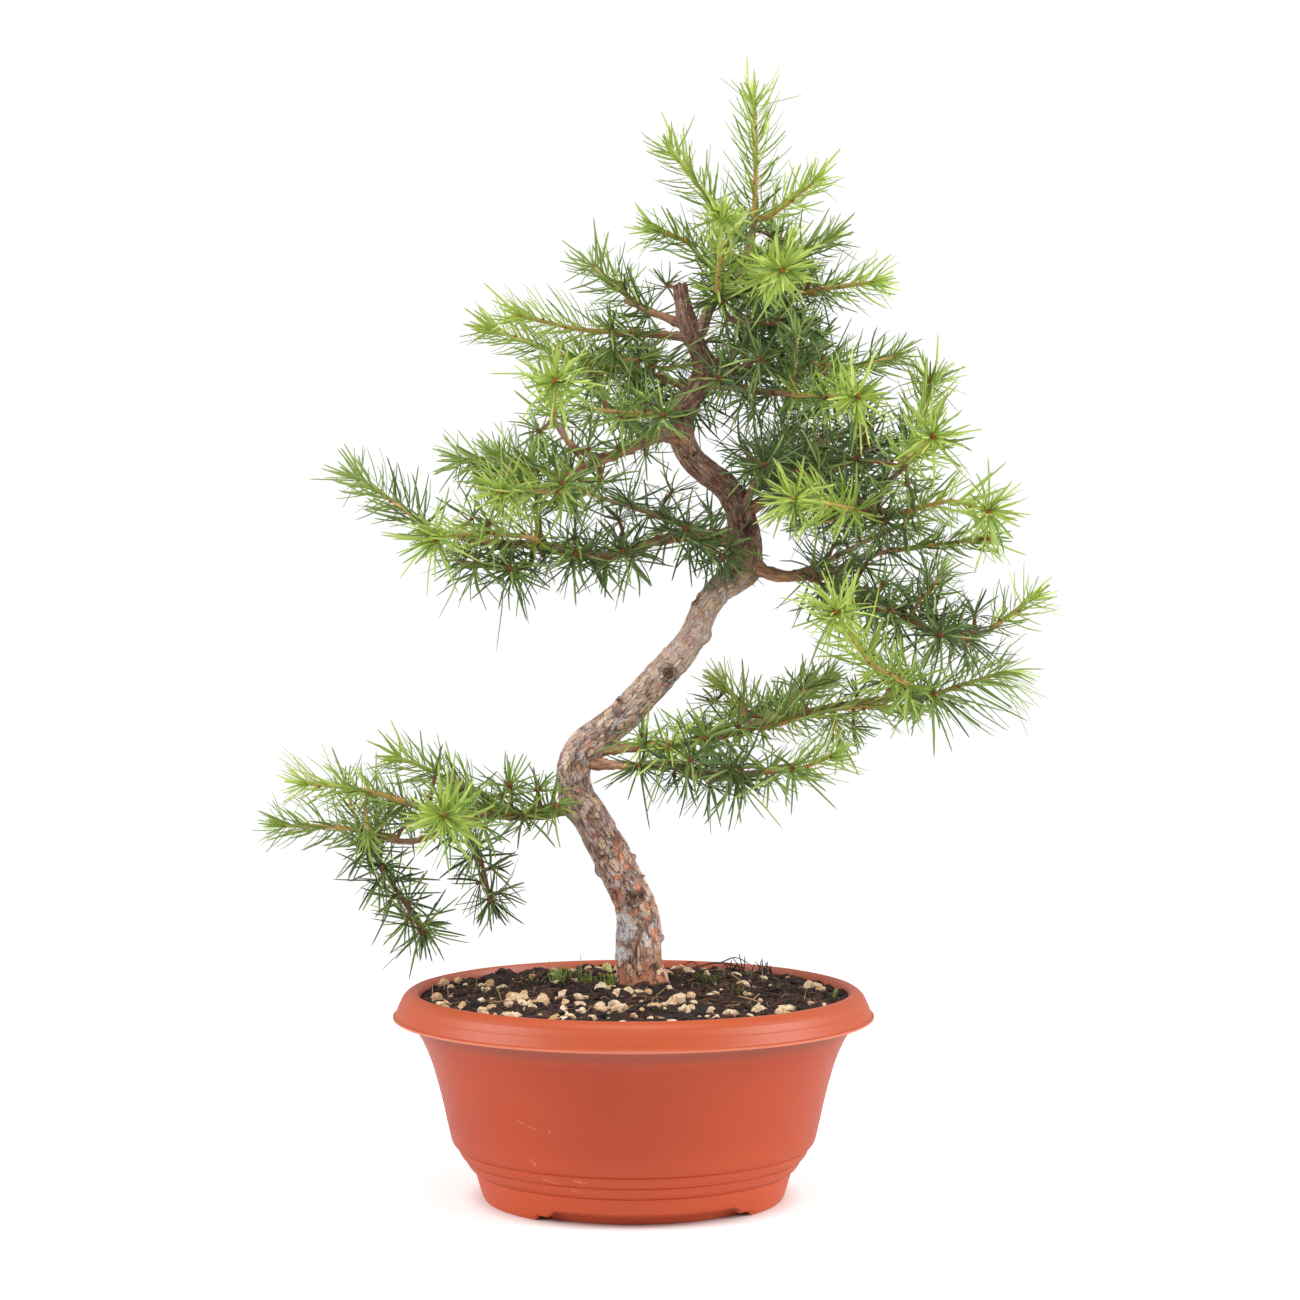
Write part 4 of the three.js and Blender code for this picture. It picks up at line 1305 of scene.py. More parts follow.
# The marks of each kind, as across, up, half width, half height and lean; True is on the far side.
MARK_ROWS = {
    Blemish.KNOT: [
        (-0.8, 149, 2, 2.3), (3.2, 150.2, 1.9, 2.2), (17.3, 261.3, 3, 3.6, -30), (-7, 247.6, 1.7, 1.2, 40),
        (23.6, 389.4, 1.8, 2.4), (56.4, 333, 2.2, 2.8, 20), (30.2, 370.4, 1, 2.2, 40),
        (10.3, 114.4, 1.7, 1.5), (30.5, 298.6, 2.2, 2.4, 20), (-2, 178, 2.4, 2.8, 0, True),
        (10, 262, 2.6, 3, 20, True), (40, 352, 2.2, 2.6, 0, True),
    ],
    Blemish.STUB: [
        (14.6, 274.8, 1.7, 2), (36.3, 279.2, 2, 4.6, 30), (-0.6, 169.2, 1.8, 2), (-18.4, 161.6, 2.2, 4, -20),
        (-20, 196, 3.6, 4), (50, 306, 3, 4), (4.2, 159.5, 0.9, 1), (13.8, 129, 0.9, 2.6),
        (14.8, 123.6, 0.9, 1.6), (-15.2, 151.5, 1.2, 3.6), (-9.8, 119, 1.6, 3), (11, 137, 1, 2.6),
        (-24, 224, 2.2, 2.4, 0, True),
    ],
    Blemish.RUST: [
        (-8.8, 173.5, 1.5, 1.5), (-6, 169.9, 2.2, 1, 70), (-3.3, 164.6, 1.5, 1.5), (-8.3, 159.3, 2, 1.2),
        (2.4, 154.3, 2.6, 1, 75), (-7, 151, 2.6, 1.2, 60), (7.2, 144.6, 1.7, 1.7), (0.8, 141.8, 2.5, 1.2, 90),
        (7.3, 138.6, 1.8, 1.2), (-9.4, 146.4, 1.2, 3.4, -10), (-26.8, 202.6, 1.2, 0.9),
        (10.6, 131.5, 1.1, 3), (-3.4, 131, 2.2, 1), (13.2, 255.2, 1.3, 1.3), (-22.5, 225.5, 1.6, 0.8, 40),
        (4, 146, 2.2, 1.2, 80, True), (-4, 158, 1.6, 1.4, 0, True), (-12, 170, 2.4, 1, 60, True),
        (0, 136, 1.6, 1.6, 0, True), (-20, 192, 1.8, 1, 50, True),
    ],
    Blemish.CRACK: [
        (-15.2, 169.8, 3.6, 0.8, -28), (1.2, 120, 0.7, 9.5), (-26, 186, 0.7, 5, -25),
        (3, 122, 0.8, 8, 4, True),
    ],
    Blemish.BLOOM: [
        (-5.6, 134.5, 5.6, 7, -10), (-6.6, 121, 4.4, 3.4), (6.2, 127.2, 1.3, 3.4), (4, 128, 4, 5, 0, True),
    ],
    Blemish.SCALE: [(-8.8, 165.6, 1.6, 3.4, -10), (-15.8, 176.5, 1.6, 3, -15), (2.6, 118, 0.6, 8)],
}
MARKS = [Mark(kind, *row) for kind, rows in MARK_ROWS.items() for row in rows]


@dataclass
class Tree:
    """The trunk, its limbs, the young stems and the buds."""

    trunk_sides: int = 76
    trunk_step: float = 0.74 * MM
    limb_sides: int = 14
    limb_step: float = 1.1 * MM
    limb_share: float = 0.76
    stem_sides: int = 7
    stem_step: float = 1.7 * MM
    bare_from: float = 0.3
    bare_roughness: float = 0.35
    foot_height: float = 0.1035
    foot_fall: float = 0.0065
    collar_reach: float = 8 * MM
    knob_gap: float = 6 * MM
    shortest_spur: float = 1.5 * MM
    trunk: Course = field(init=False)
    limbs: list[Course] = field(init=False)
    carriers: list[Course] = field(default_factory=list)
    wood: np.ndarray = field(default_factory=lambda: np.zeros((0, 6)))
    young: Gathering = field(default_factory=Gathering)
    buds: Gathering = field(default_factory=Gathering)

    def __post_init__(self) -> None:
        """Lay the courses of the trunk and the limbs."""
        self.trunk = Course.of(TRUNK, self.trunk_step)
        self.limbs = [Course.of(limb, self.limb_step) for limb in LIMBS]
        for limb in self.limbs:
            limb.radii = limb.radii * self.limb_share
        for course in (self.trunk, *self.limbs):
            self.remember(course)
        self.bud_shape = lump_shape(1)
        self.big_bud_shape = lump_shape(2)
        self.rng = np.random.default_rng(11)

    def remember(self, course: Course) -> None:
        """Let later twigs and spurs grow from a course.

        Args:
            course: The course of the trunk, a limb or a stem.
        """
        count = len(course.run)
        rows = np.column_stack([
            course.centres, course.radii, np.full(count, len(self.carriers)), np.arange(count)
        ])
        self.wood = np.vstack([self.wood, rows])
        self.carriers.append(course)

    def nearest(self, point: np.ndarray) -> tuple[float, Course, int]:
        """The distance, course and sample of the wood that lies nearest to a point.

        Args:
            point: The point, in metres.

        Returns:
            The distance from its surface in metres, the course and its sample's number.
        """
        gaps = np.linalg.norm(self.wood[:, :3] - point, axis=1) - self.wood[:, 3]
        best = int(gaps.argmin())
        return float(gaps[best]), self.carriers[int(self.wood[best, 4])], int(self.wood[best, 5])

    def bark_grain(self, run: float, angle: float, height: float) -> tuple[float, float, float, float]:
        """The old bark at one spot of the trunk.

        Args:
            run: How far along the trunk, in metres.
            angle: How far round it.
            height: How high it lies, in metres.

        Returns:
            How far the wood wanders, how much of a plate stands there, how light a scale lies there,
            and the fine roughness.
        """
        x, y = math.cos(angle), math.sin(angle)
        wander = noise.noise(Vector((x, y, run * 55)))
        twist = 0.55 * noise.noise(Vector((2 * x, 2 * y, run * 90 + 5)))
        gaps, _ = noise.voronoi(Vector((2.3 * x + twist, 2.3 * y - twist, run * 105 + 1.2 * twist)))
        fissure = min(1.0, (gaps[1] - gaps[0]) * 3.2)
        furrow = abs(noise.noise(Vector((3.6 * x, 3.6 * y, run * 38 + 0.8 * twist))))
        rough = min(max(noise.noise(Vector((x, y, run * 26 + 9))) * 2.4 + 0.62, 0.0), 1.0)
        if height > self.bare_from:
            rough = self.bare_roughness
        plate = rough * fissure + (1 - rough) * min(1.0, furrow * 4.5)
        near, spots = noise.voronoi(Vector((2.7 * x - twist, 2.7 * y, run * 125 + 40 + twist)))
        chosen = noise.noise(spots[0] * 7.3) > -0.15
        scale = min(max((0.42 - near[0]) * 5, 0.0), 1.0) if chosen else 0.0
        fine = noise.fractal(Vector((5 * x, 5 * y, run * 420)), 1.0, 2.0, 3)
        return wander, plate, scale, fine

    def mark_trunk(self, spots: np.ndarray, outward: np.ndarray) -> tuple[np.ndarray, dict[str, np.ndarray]]:
        """What the marks do to the trunk's corners.

        Args:
            spots: The corners, by ring and side.
            outward: Each corner's outward direction.

        Returns:
            How far each corner swells, in metres, and the strength there of each finish value.
        """
        seen = front_view(spots)
        facing = outward[..., 1] < 0.15
        swell = np.zeros(spots.shape[:2])
        shades = {name: np.zeros(spots.shape[:2]) for name in ("scar", "rust", "bloom", "scale")}
        for mark in MARKS:
            lean = math.radians(mark.lean)
            dx, dz = seen[..., 0] - mark.across, seen[..., 2] - mark.up
            wide = (dx * math.cos(lean) - dz * math.sin(lean)) / mark.wide
            tall = (dx * math.sin(lean) + dz * math.cos(lean)) / mark.tall
            gap = np.hypot(wide, tall)
            here = (~facing if mark.behind else facing) & (gap < 3)
            gap = np.where(here, gap, 9.0)
            if mark.kind is Blemish.KNOT:
                inside = np.exp(-((gap / 1.05) ** 6))
                rings = inside * np.cos(gap * 13)
                swell += MM * (0.6 * np.exp(-(((gap - 1.1) / 0.35) ** 2)) + 0.12 * rings)
                swell -= MM * 0.55 * np.exp(-((gap / 0.6) ** 2))
                shades["scar"] = np.maximum(shades["scar"], inside * 0.75 - 0.3 * rings)
                shades["scale"] = np.maximum(shades["scale"], 0.32 * np.exp(-(((gap - 1.25) / 0.22) ** 2)))
            elif mark.kind is Blemish.STUB:
                swell += 1.7 * MM * np.exp(-((gap / 0.8) ** 4))
            elif mark.kind is Blemish.CRACK:
                swell -= 0.8 * MM * np.exp(-((gap / 0.8) ** 2))
                shades["scar"] = np.maximum(shades["scar"], 0.75 * np.exp(-((gap / 0.8) ** 4)))
            else:
                name = mark.kind.name.lower()
                shades[name] = np.maximum(shades[name], np.exp(-((gap / 1.05) ** 4)))
                swell += (-0.25 if mark.kind is Blemish.RUST else 0.25) * MM * np.exp(-(gap**4))
        return swell, shades

    def grow_trunk(self) -> Object:
        """The trunk: an uneven round section with plates, furrows, marks, collars and a flared foot."""
        course, sides = self.trunk, self.trunk_sides
        angles = np.arange(sides) * math.tau / sides
        outward = course.outward(sides)
        spots = course.centres[:, None] + outward * course.radii[:, None, None]
        joined = [
            limb for limb in self.limbs
            if np.linalg.norm(course.centres - limb.centres[0], axis=1).min() < self.collar_reach
        ]
        grain = np.array([
            [self.bark_grain(run, angle, spots[ring, 0, 2]) for angle in angles]
            for ring, run in enumerate(course.run)
        ])
        wander, plate, scale, fine = np.moveaxis(grain, 2, 0)
        swell, shades = self.mark_trunk(spots, outward)
        depth = np.interp(spots[..., 2], [0.2, 0.3, 0.36], [0.85, 0.6, 0.95]) * MM
        swell = swell + depth * (plate - 0.65) + 0.3 * MM * scale + 0.13 * MM * fine
        for limb in joined:
            foot = limb.centres[limb.index_at(min(self.collar_reach, limb.length))]
            gap = np.linalg.norm(spots - foot, axis=2) / (limb.radii[0] * 2.6)
            swell += 1.3 * MM * np.exp(-((gap / 0.75) ** 2))
        fade = np.exp(-(spots[..., 2] - self.foot_height) / self.foot_fall)
        flare = fade * (0.05 + 0.06 * np.sin(5 * angles + 1))
        radii = course.radii[:, None] * (1 + 0.09 * wander + np.minimum(flare, 0.3)) + swell
        corners, faces = tube_shape(course, radii, sides, 0.05)
        piece = new_piece("trunk", corners, faces)
        shades["scale"] = np.maximum(shades["scale"], scale)
        shades["relief"] = 0.2 + 0.7 * plate + 0.15 * fine
        for name, values in shades.items():
            store(piece, name, np.append(values.ravel(), [0.5, 0.5]))
        self.store_way(piece, [course], sides)
        smooth(piece, 75)
        return piece

    def store_way(self, piece: Object, courses: list[Course], sides: int) -> None:
        """Keep each corner's own way round and along, for finishes that follow the wood.

        Args:
            piece: The piece: each tube's corners lie ring by ring, and its two ends come last.
            courses: What its tubes follow.
            sides: How many corners each ring has.
        """
        angles = np.arange(sides) * math.tau / sides
        turn_x, turn_y, along = [], [], []
        for number, course in enumerate(courses):
            rings = len(course.run)
            turn_x.append(np.append(np.tile(np.cos(angles), rings), [0, 0]))
            turn_y.append(np.append(np.tile(np.sin(angles), rings), [0, 0]))
            along.append(np.append(np.repeat(course.run, sides), [0, course.length]) + 0.7 * number)
        for name, values in (("turn_x", turn_x), ("turn_y", turn_y), ("run", along)):
            store(piece, name, np.concatenate(values))

    def grow_limbs(self) -> Object:
        """The limbs: tapered, fibrous, knobbly with old spurs, and flared where they leave."""
        every_corner, every_face, relief = [], [], []
        count = 0
        for number, limb in enumerate(self.limbs):
            start = limb.radii[0]
            flare = 1 + 0.35 * np.exp(-np.maximum(limb.run - 1.6 * start, 0) / (1.6 * start))
            radii = np.repeat((limb.radii * flare)[:, None], self.limb_sides, axis=1)
            rise = np.zeros_like(radii)
            knobs = self.rng.uniform(0, math.tau, 64)
            for ring, run in enumerate(limb.run):
                knob_way = knobs[int(run / self.knob_gap) % len(knobs)]
                knob_near = math.exp(-(((run / self.knob_gap) % 1 - 0.5) / 0.16) ** 2)
                for side in range(self.limb_sides):
                    angle = math.tau * side / self.limb_sides
                    x, y = math.cos(angle), math.sin(angle)
                    ridges = noise.noise(Vector((2.4 * x, 2.4 * y, run * 130 + 3 * number)))
                    lumps = noise.noise(Vector((x, y, run * 330 + 7 * number)))
                    knob = knob_near * max(math.cos(angle - knob_way), 0) ** 3
                    radii[ring, side] *= 1 + 0.26 * ridges + 0.16 * lumps + 0.38 * knob
                    rise[ring, side] = 0.5 + 0.6 * ridges + 0.3 * lumps - 0.3 * knob
            corners, faces = tube_shape(limb, radii, self.limb_sides)
            every_corner.append(corners)
            every_face += [tuple(corner + count for corner in face) for face in faces]
            relief.append(np.append(rise.ravel(), [0.5, 0.5]))
            count += len(corners)
        piece = new_piece("branches", np.vstack(every_corner), every_face)
        store(piece, "relief", np.concatenate(relief))
        self.store_way(piece, self.limbs, self.limb_sides)
        smooth(piece, 80)
        return piece

    def grow_young(self, points: np.ndarray, thick: float, thin: float, youth: Span) -> Course:
        """A young stem from the wood that carries it to its tip.

        Args:
            points: The stem's points, in metres.
            thick: Its radius at the foot, in millimetres.
            thin: Its radius at the tip, in millimetres.
            youth: How young its bark looks at the foot and at the tip, from 0 to 1.

        Returns:
            The stem's course, from the nearest wood on.
        """
        gap, parent, index = self.nearest(points[0])
        lead = [parent.centres[index]] if gap + parent.radii[index] > 2 * MM else []
        path = np.vstack([*lead, points])
        course = Course(path, np.linspace(thick, thin, len(path)) * MM, self.stem_step)
        share = course.run / course.length
        knuckle = 1 + 0.2 * (0.5 + 0.5 * np.sin(course.run * 1500)) ** 4
        corners, faces = tube_shape(course, course.radii * knuckle, self.stem_sides, 0.8)
        tone = youth[0] + (youth[1] - youth[0]) * np.repeat(share, self.stem_sides)
        self.young.add(corners, faces, np.append(tone, youth))
        self.remember(course)
        return course

    def grow_bud(self, centre: np.ndarray, axis: np.ndarray, radius: float, youth: float) -> None:
        """A bud: an egg shape that points along its axis.

        Args:
            centre: Where it sits, in metres.
            axis: The way that it points.
            radius: Its radius, in millimetres.
            youth: 0 for dark red-brown, 1 for orange.
        """
        corners, faces = self.big_bud_shape if radius > 1.4 else self.bud_shape
        axis = unit(axis)
        side = unit(np.cross(axis, [0.3, 0.5, 0.81]))
        turn = np.stack([side, np.cross(axis, side), axis], axis=1)
        shaped = corners * np.array([1.0, 1.0, 1.25]) * radius
        self.buds.add(centre + shaped @ turn.T, faces, youth)

    def grow_spur(self, centre: np.ndarray, youth: float) -> None:
        """A short spur from the nearest wood to where a rosette opens.

        Args:
            centre: Where the rosette opens, in metres.
            youth: How young its bark looks, from 0 to 1.
        """
        _, parent, index = self.nearest(centre)
        foot = parent.centres[index]
        reach = np.linalg.norm(centre - foot)
        if reach < self.shortest_spur:
            return
        middle = 0.5 * (foot + centre) + self.rng.normal(0, 0.05, 3) * reach
        course = Course(np.array([foot, middle, centre]), np.array([1.2, 0.9, 1.0]) * MM, 2 * MM)
        corners, faces = tube_shape(course, course.radii, 6, 0.5)
        self.young.add(corners, faces, youth)


@dataclass(frozen=True)
class Cloud:
    """A part of the crown that twigs and rosettes fill: its middle, half its size, and how many."""

    middle: tuple[float, float, float]
    half: tuple[float, float, float]
    rosettes: int


CLOUDS = [
    Cloud((60, 446, 2), (40, 34, 40), 24),
    Cloud((84, 392, 0), (42, 34, 60), 29),
    Cloud((2, 402, 10), (42, 26, 46), 23),
    Cloud((106, 352, 0), (50, 24, 60), 24),
    Cloud((-46, 354, -14), (34, 14, 36), 12),
    Cloud((136, 298, -8), (40, 14, 36), 4),
    Cloud((82, 238, -8), (48, 11, 32), 3),
    Cloud((-106, 192, -8), (44, 11, 26), 7),
]


@dataclass
class Foliage:
    """All the needles, one piece for each shoot."""

    tree: Tree
    spur_gap: float = 15.5 * MM
    cloud_gap: float = 10.0 * MM
    cloud_reach: float = 30 * MM
    clear_way: float = 17.0
    brush_share: float = 0.42
    limb_bare_share: float = 0.34
    limb_bare: float = 12 * MM
    needle_gap: float = 0.58 * MM
    twig_gap: float = 6.5 * MM
    back_twig_gap: float = 10 * MM
    needles: dict[str, Blades] = field(default_factory=dict)
    anchors: dict[str, np.ndarray] = field(default_factory=dict)
    opened: list[np.ndarray] = field(default_factory=list)

    def __post_init__(self) -> None:
        """Start a bunch of needles for every shoot."""
        self.rng = np.random.default_rng(23)
        self.older = {shoot.name for shoot in SHOOTS if shoot.tone is not FRESH}
        for shoot in SHOOTS:
            self.needles[shoot.name] = Blades()
            self.anchors[shoot.name] = np.vstack([place(stem) for stem in shoot.stems])

    def rosette(
        self, name: str, centre: np.ndarray, axis: np.ndarray, reach: float, tint: float,
        count: int, droop: float = 0.05, openness: float = 1.0,
    ) -> None:
        """A tuft of needles round a bud.

        Args:
            name: The shoot that it belongs to.
            centre: Where its bud sits.
            axis: The way that it opens.
            reach: The needles' length, in metres.
            tint: 0 for the deepest green, 1 for the lightest.
            count: How many needles.
            droop: How far the tips sink, as a share of the length.
            openness: 1 for a flat wheel, less for a closed tuft.
        """
        rng, axis = self.rng, unit(axis)
        side = unit(np.cross(axis, [0.23, 0.31, 0.92]))
        other = np.cross(axis, side)
        start = rng.uniform(0, math.tau)
        self.opened.append(centre)
        for number in range(count):
            share = (number + 0.5) / count
            azimuth = start + number * GOLDEN_ANGLE + rng.normal(0, 0.3)
            polar = openness * math.radians(12 + 82 * share**0.65 + rng.normal(0, 11))
            out = side * math.cos(azimuth) + other * math.sin(azimuth)
            heading = axis * math.cos(polar) + out * math.sin(polar)
            foot = centre + out * 0.8 * MM * share - axis * 1.2 * MM * share
            bend = -0.12 * axis * math.sin(polar) - droop * UP + rng.normal(0, 0.18, 3)
            self.needles[name].add(
                foot, heading, axis - 0.2 * out + rng.normal(0, 0.3, 3), bend,
                reach * (0.62 + 0.38 * share) * rng.uniform(0.85, 1.12), rng.uniform(0.9, 1.3) * MM,
                tint + rng.normal(0, 0.26),
            )

    def spiral(
        self, name: str, course: Course, reach: float, tints: Span, gap: float, droop: float, tuft: int
    ) -> None:
        """Single needles up a long shoot, and the tuft at its tip.

        Args:
            name: The shoot that they belong to.
            course: The stem.
            reach: The needles' length, in metres.
            tints: The tint at the foot and at the tip.
            gap: The distance along the stem from needle to needle, in metres.
            droop: How far the tips sink, as a share of the length.
            tuft: How many needles close the tip.
        """
        rng = self.rng
        turn = rng.uniform(0, math.tau)
        for number in range(int(course.length / gap)):
            run = (number + rng.uniform(0, 0.8)) * gap
            share = run / course.length
            index = course.index_at(min(run, course.length))
            turn += GOLDEN_ANGLE + rng.normal(0, 0.35)
            out, forward = course.around(index, turn), course.headings[index]
            lift = math.radians(70 - 22 * share**2 + rng.normal(0, 11))
            heading = forward * math.cos(lift) + out * math.sin(lift)
            length = reach * (0.8 + 0.12 * math.sin(math.pi * share)) * rng.uniform(0.66, 1.12)
            bend = 0.24 * forward - 0.1 * out + (0.14 - droop) * UP + rng.normal(0, 0.13, 3)
            foot = course.centres[index] + out * course.radii[index] * 0.8
            tint = tints[0] + (tints[1] - tints[0]) * share**1.4 + rng.normal(0, 0.18)
            self.needles[name].add(
                foot, heading, forward + rng.normal(0, 0.3, 3), bend, length,
                rng.uniform(1.05, 1.45) * MM, tint,
            )
        tip, forward = course.centres[-1], course.headings[-1]
        for number in range(tuft):
            share = (number + 0.5) / tuft
            turn += GOLDEN_ANGLE + rng.normal(0, 0.25)
            polar = math.radians(4 + 54 * share**0.8 + rng.normal(0, 7))
            out = course.around(len(course.run) - 1, turn)
            heading = forward * math.cos(polar) + out * math.sin(polar)
            self.needles[name].add(
                tip - forward * 2.2 * MM * share, heading, forward - out * 0.8,
                0.1 * out - droop * UP + rng.normal(0, 0.09, 3),
                reach * (0.55 + 0.36 * share) * rng.uniform(0.8, 1.12),
                rng.uniform(0.95, 1.2) * MM, tints[1] + 0.05 + rng.normal(0, 0.12),
            )

    def clothe(self, shoot: Shoot) -> None:
        """Grow one shoot's stems, buds and needles.

        Args:
            shoot: The shoot.
        """
        rng, tree, reach = self.rng, self.tree, shoot.reach * MM
        youth = {FRESH: (0.5, 0.9), MID: (0.4, 0.75), SHADED: (0.05, 0.35)}[shoot.tone]
        for stem in shoot.stems:
            if shoot.habit is SPURS:
                course = tree.grow_young(place(stem), 1.4, 1.0, youth)
                gap = self.back_twig_gap if shoot.name.startswith("back") else self.twig_gap
                spurs = max(int(course.length / gap), 2)
                turn = rng.uniform(0, math.tau)
                for number in range(spurs):
                    index = course.index_at(course.length * (number + 0.7) / (spurs + 0.2))
                    turn += math.radians(150) + rng.normal(0, 0.4)
                    out = course.around(index, turn)
                    axis = unit(out + 0.35 * course.headings[index] + 0.2 * UP)
                    centre = course.centres[index] + axis * rng.uniform(3, 7) * MM
                    # painted light: needles made lighter where the crown above shades the shoot
                    tint = 0.35 + shoot.painted_light + 0.25 * number / spurs
                    self.open_spur(shoot.name, centre, axis, reach, tint)
                self.open_spur(shoot.name, course.centres[-1], course.headings[-1], reach, 0.55, 0.8)
                continue
            droop = 0.32 if shoot.habit is HANGING else 0.04
            course = tree.grow_young(place(stem), 1.4, 0.85, youth)
            # painted light: needles made lighter where the crown above shades the shoot
            tints = (0.5 + shoot.painted_light, 0.95 + shoot.painted_light)
            tuft = 5 if shoot.habit is EYE_ON else 20
            self.spiral(shoot.name, course, reach, tints, self.needle_gap, droop, tuft)
            self.bud_along(course, youth)
            tree.grow_bud(course.centres[-1], course.headings[-1], 1.25, youth[1])
            if shoot.habit is EYE_ON:
                facing = unit(course.headings[-1] + 1.2 * TOWARDS_FRONT)
                tip = course.centres[-1]
                self.rosette(shoot.name, tip, facing, reach * 0.98, 0.6, 42, 0.06, 0.96)
                tree.grow_bud(tip + facing * 1.4 * MM, facing, 1.6, 0.95)

    def bud_along(self, course: Course, youth: Span) -> None:
        """Small side buds up a long shoot.

        Args:
            course: The shoot's stem.
            youth: How young its bark looks at the foot and at the tip, from 0 to 1.
        """
        run, turn = 7 * MM, self.rng.uniform(0, math.tau)
        while run < course.length - 4 * MM:
            index = course.index_at(run)
            turn += GOLDEN_ANGLE
            out = course.around(index, turn)
            centre = course.centres[index] + out * course.radii[index]
            self.tree.grow_bud(centre, out + 0.8 * course.headings[index], 0.85, 0.6 * youth[1])
            run += self.rng.uniform(7, 12) * MM

    def open_spur(
        self, name: str, centre: np.ndarray, axis: np.ndarray, reach: float, tint: float,
        openness: float = 1.0,
    ) -> None:
        """A rosette with its bud and the spur that carries it.

        Args:
            name: The shoot that it belongs to.
            centre: Where its bud sits.
            axis: The way that it opens.
            reach: The needles' length, in metres.
            tint: 0 for the deepest green, 1 for the lightest.
            openness: 1 for a flat wheel, less for a closed tuft.
        """
        count = int(self.rng.integers(15, 22))
        self.rosette(name, centre, axis, reach * self.rng.uniform(0.85, 1.05), tint, count, 0.06, openness)
        self.tree.grow_bud(centre + unit(axis) * 0.5 * MM, axis, 1.3, max(tint - 0.25, 0.0))
        self.tree.grow_spur(centre, 0.25)

    def owner(self, point: np.ndarray) -> str:
        """The older shoot whose stems lie nearest to a point."""
        gaps = {name: np.linalg.norm(self.anchors[name] - point, axis=1).min() for name in self.older}
        return min(sorted(gaps), key=gaps.get)

    def hides_trunk(self, point: np.ndarray) -> bool:
        """Whether needles there would cover the trunk as seen from the front.

        Args:
            point: Where they would grow, in metres.

        Returns:
            True if they would.
        """
        trunk = self.tree.trunk
        if point[1] > trunk.centres[:, 1].mean():
            return False
        seen = front_view(np.vstack([point, trunk.centres]))
        gaps = np.hypot(seen[1:, 0] - seen[0, 0], seen[1:, 2] - seen[0, 2])
        return bool(gaps.min() < self.clear_way)

    def clothe_limbs(self) -> None:
        """Rosettes on spurs and short side twigs along the outer part of every limb."""
        rng = self.rng
        for number, limb in enumerate(self.tree.limbs):
            run = max(self.limb_bare_share * limb.length, self.limb_bare)
            turn = number * 1.3
            while run < limb.length:
                index = limb.index_at(run)
                turn += GOLDEN_ANGLE + rng.normal(0, 0.3)
                out = limb.around(index, turn)
                axis = unit(out + 0.3 * limb.headings[index] + 0.45 * UP)
                reach = limb.radii[index] + rng.choice([2.5, 3.0, 9.0, 14.0]) * MM
                centre = limb.centres[index] + axis * reach
                run += self.spur_gap * rng.uniform(0.7, 1.2)
                if not self.hides_trunk(centre):
                    tint = 0.25 + rng.uniform(0, 0.35)
                    self.open_spur(self.owner(centre), centre, axis, 22 * MM, tint)

    def fill(self, cloud: Cloud) -> None:
        """Fill a part of the crown, from the wood outwards, with twigs that end in rosettes.

        Args:
            cloud: The part of the crown.
        """
        rng, tree = self.rng, self.tree
        found = []
        for _ in range(cloud.rosettes * 3):
            spot = rng.normal(0, 1, 3)
            spot *= rng.uniform(0, 1) ** (1 / 3) / np.linalg.norm(spot)
            point = place(np.array(cloud.middle) + spot * np.array(cloud.half))
            found.append((tree.nearest(point)[0], *point))
        placed = 0
        for row in sorted(found):
            point = np.array(row[1:])
            gap, parent, index = tree.nearest(point)
            crowded = np.linalg.norm(np.array(self.opened) - point, axis=1).min() < self.cloud_gap
            if crowded or gap > self.cloud_reach or placed >= cloud.rosettes or self.hides_trunk(point):
                continue
            foot = parent.centres[index]
            middle = 0.5 * (foot + point) + 0.1 * np.linalg.norm(point - foot) * (rng.normal(0, 1, 3) - UP)
            axis = unit(point - middle) + 0.3 * UP + rng.normal(0, 0.2, 3)
            placed += 1
            if rng.uniform(0, 1) < self.brush_share:
                outward = unit(point - middle)
                tip = point + unit(outward + 0.5 * UP) * rng.uniform(8, 16) * MM
                course = tree.grow_young(np.array([middle, point, tip]), 1.1, 0.7, (0.3, 0.85))
                self.spiral(self.owner(point), course, 19 * MM, (0.35, 0.75), 0.95 * MM, 0.04, 16)
                self.bud_along(course, (0.3, 0.8))
                continue
            tree.grow_young(np.array([middle, point]), 1.1, 0.8, (0.1, 0.5))
            tint = 0.3 + rng.uniform(0, 0.4)
            self.rosette(self.owner(point), point, axis, rng.uniform(20, 25) * MM, tint, 19, 0.08, 0.92)
            tree.grow_bud(point + unit(axis) * 0.5 * MM, axis, 1.3, tint)

    def build(self) -> None:
        """Grow every shoot, then the rosettes on the limbs and the ones that show plainly."""
        for shoot in SHOOTS:
            self.clothe(shoot)
        for rosette in ROSETTES:
            centre = place(rosette.spot)
            axis = np.array(rosette.lean)
            self.rosette(rosette.shoot, centre, axis, rosette.reach * 1.04 * MM, rosette.lightness, 25)
            self.tree.grow_bud(centre + unit(axis) * 0.8 * MM, axis, 1.7, rosette.lightness * 0.8)
            self.tree.grow_spur(centre, 0.3)
        self.clothe_limbs()
        for cloud in CLOUDS:
            self.fill(cloud)
        finishes = {tone: needle_finish(tone.value) for tone in Tone}
        LOG.info("needles: %d", sum(len(bunch.rows) for bunch in self.needles.values()))
        for shoot in SHOOTS:
            piece = self.needles[shoot.name].piece(f"needles_{shoot.name}")
            hand_over(piece, finishes[shoot.tone], shoot.tone.value, f"shoot_{shoot.name}")


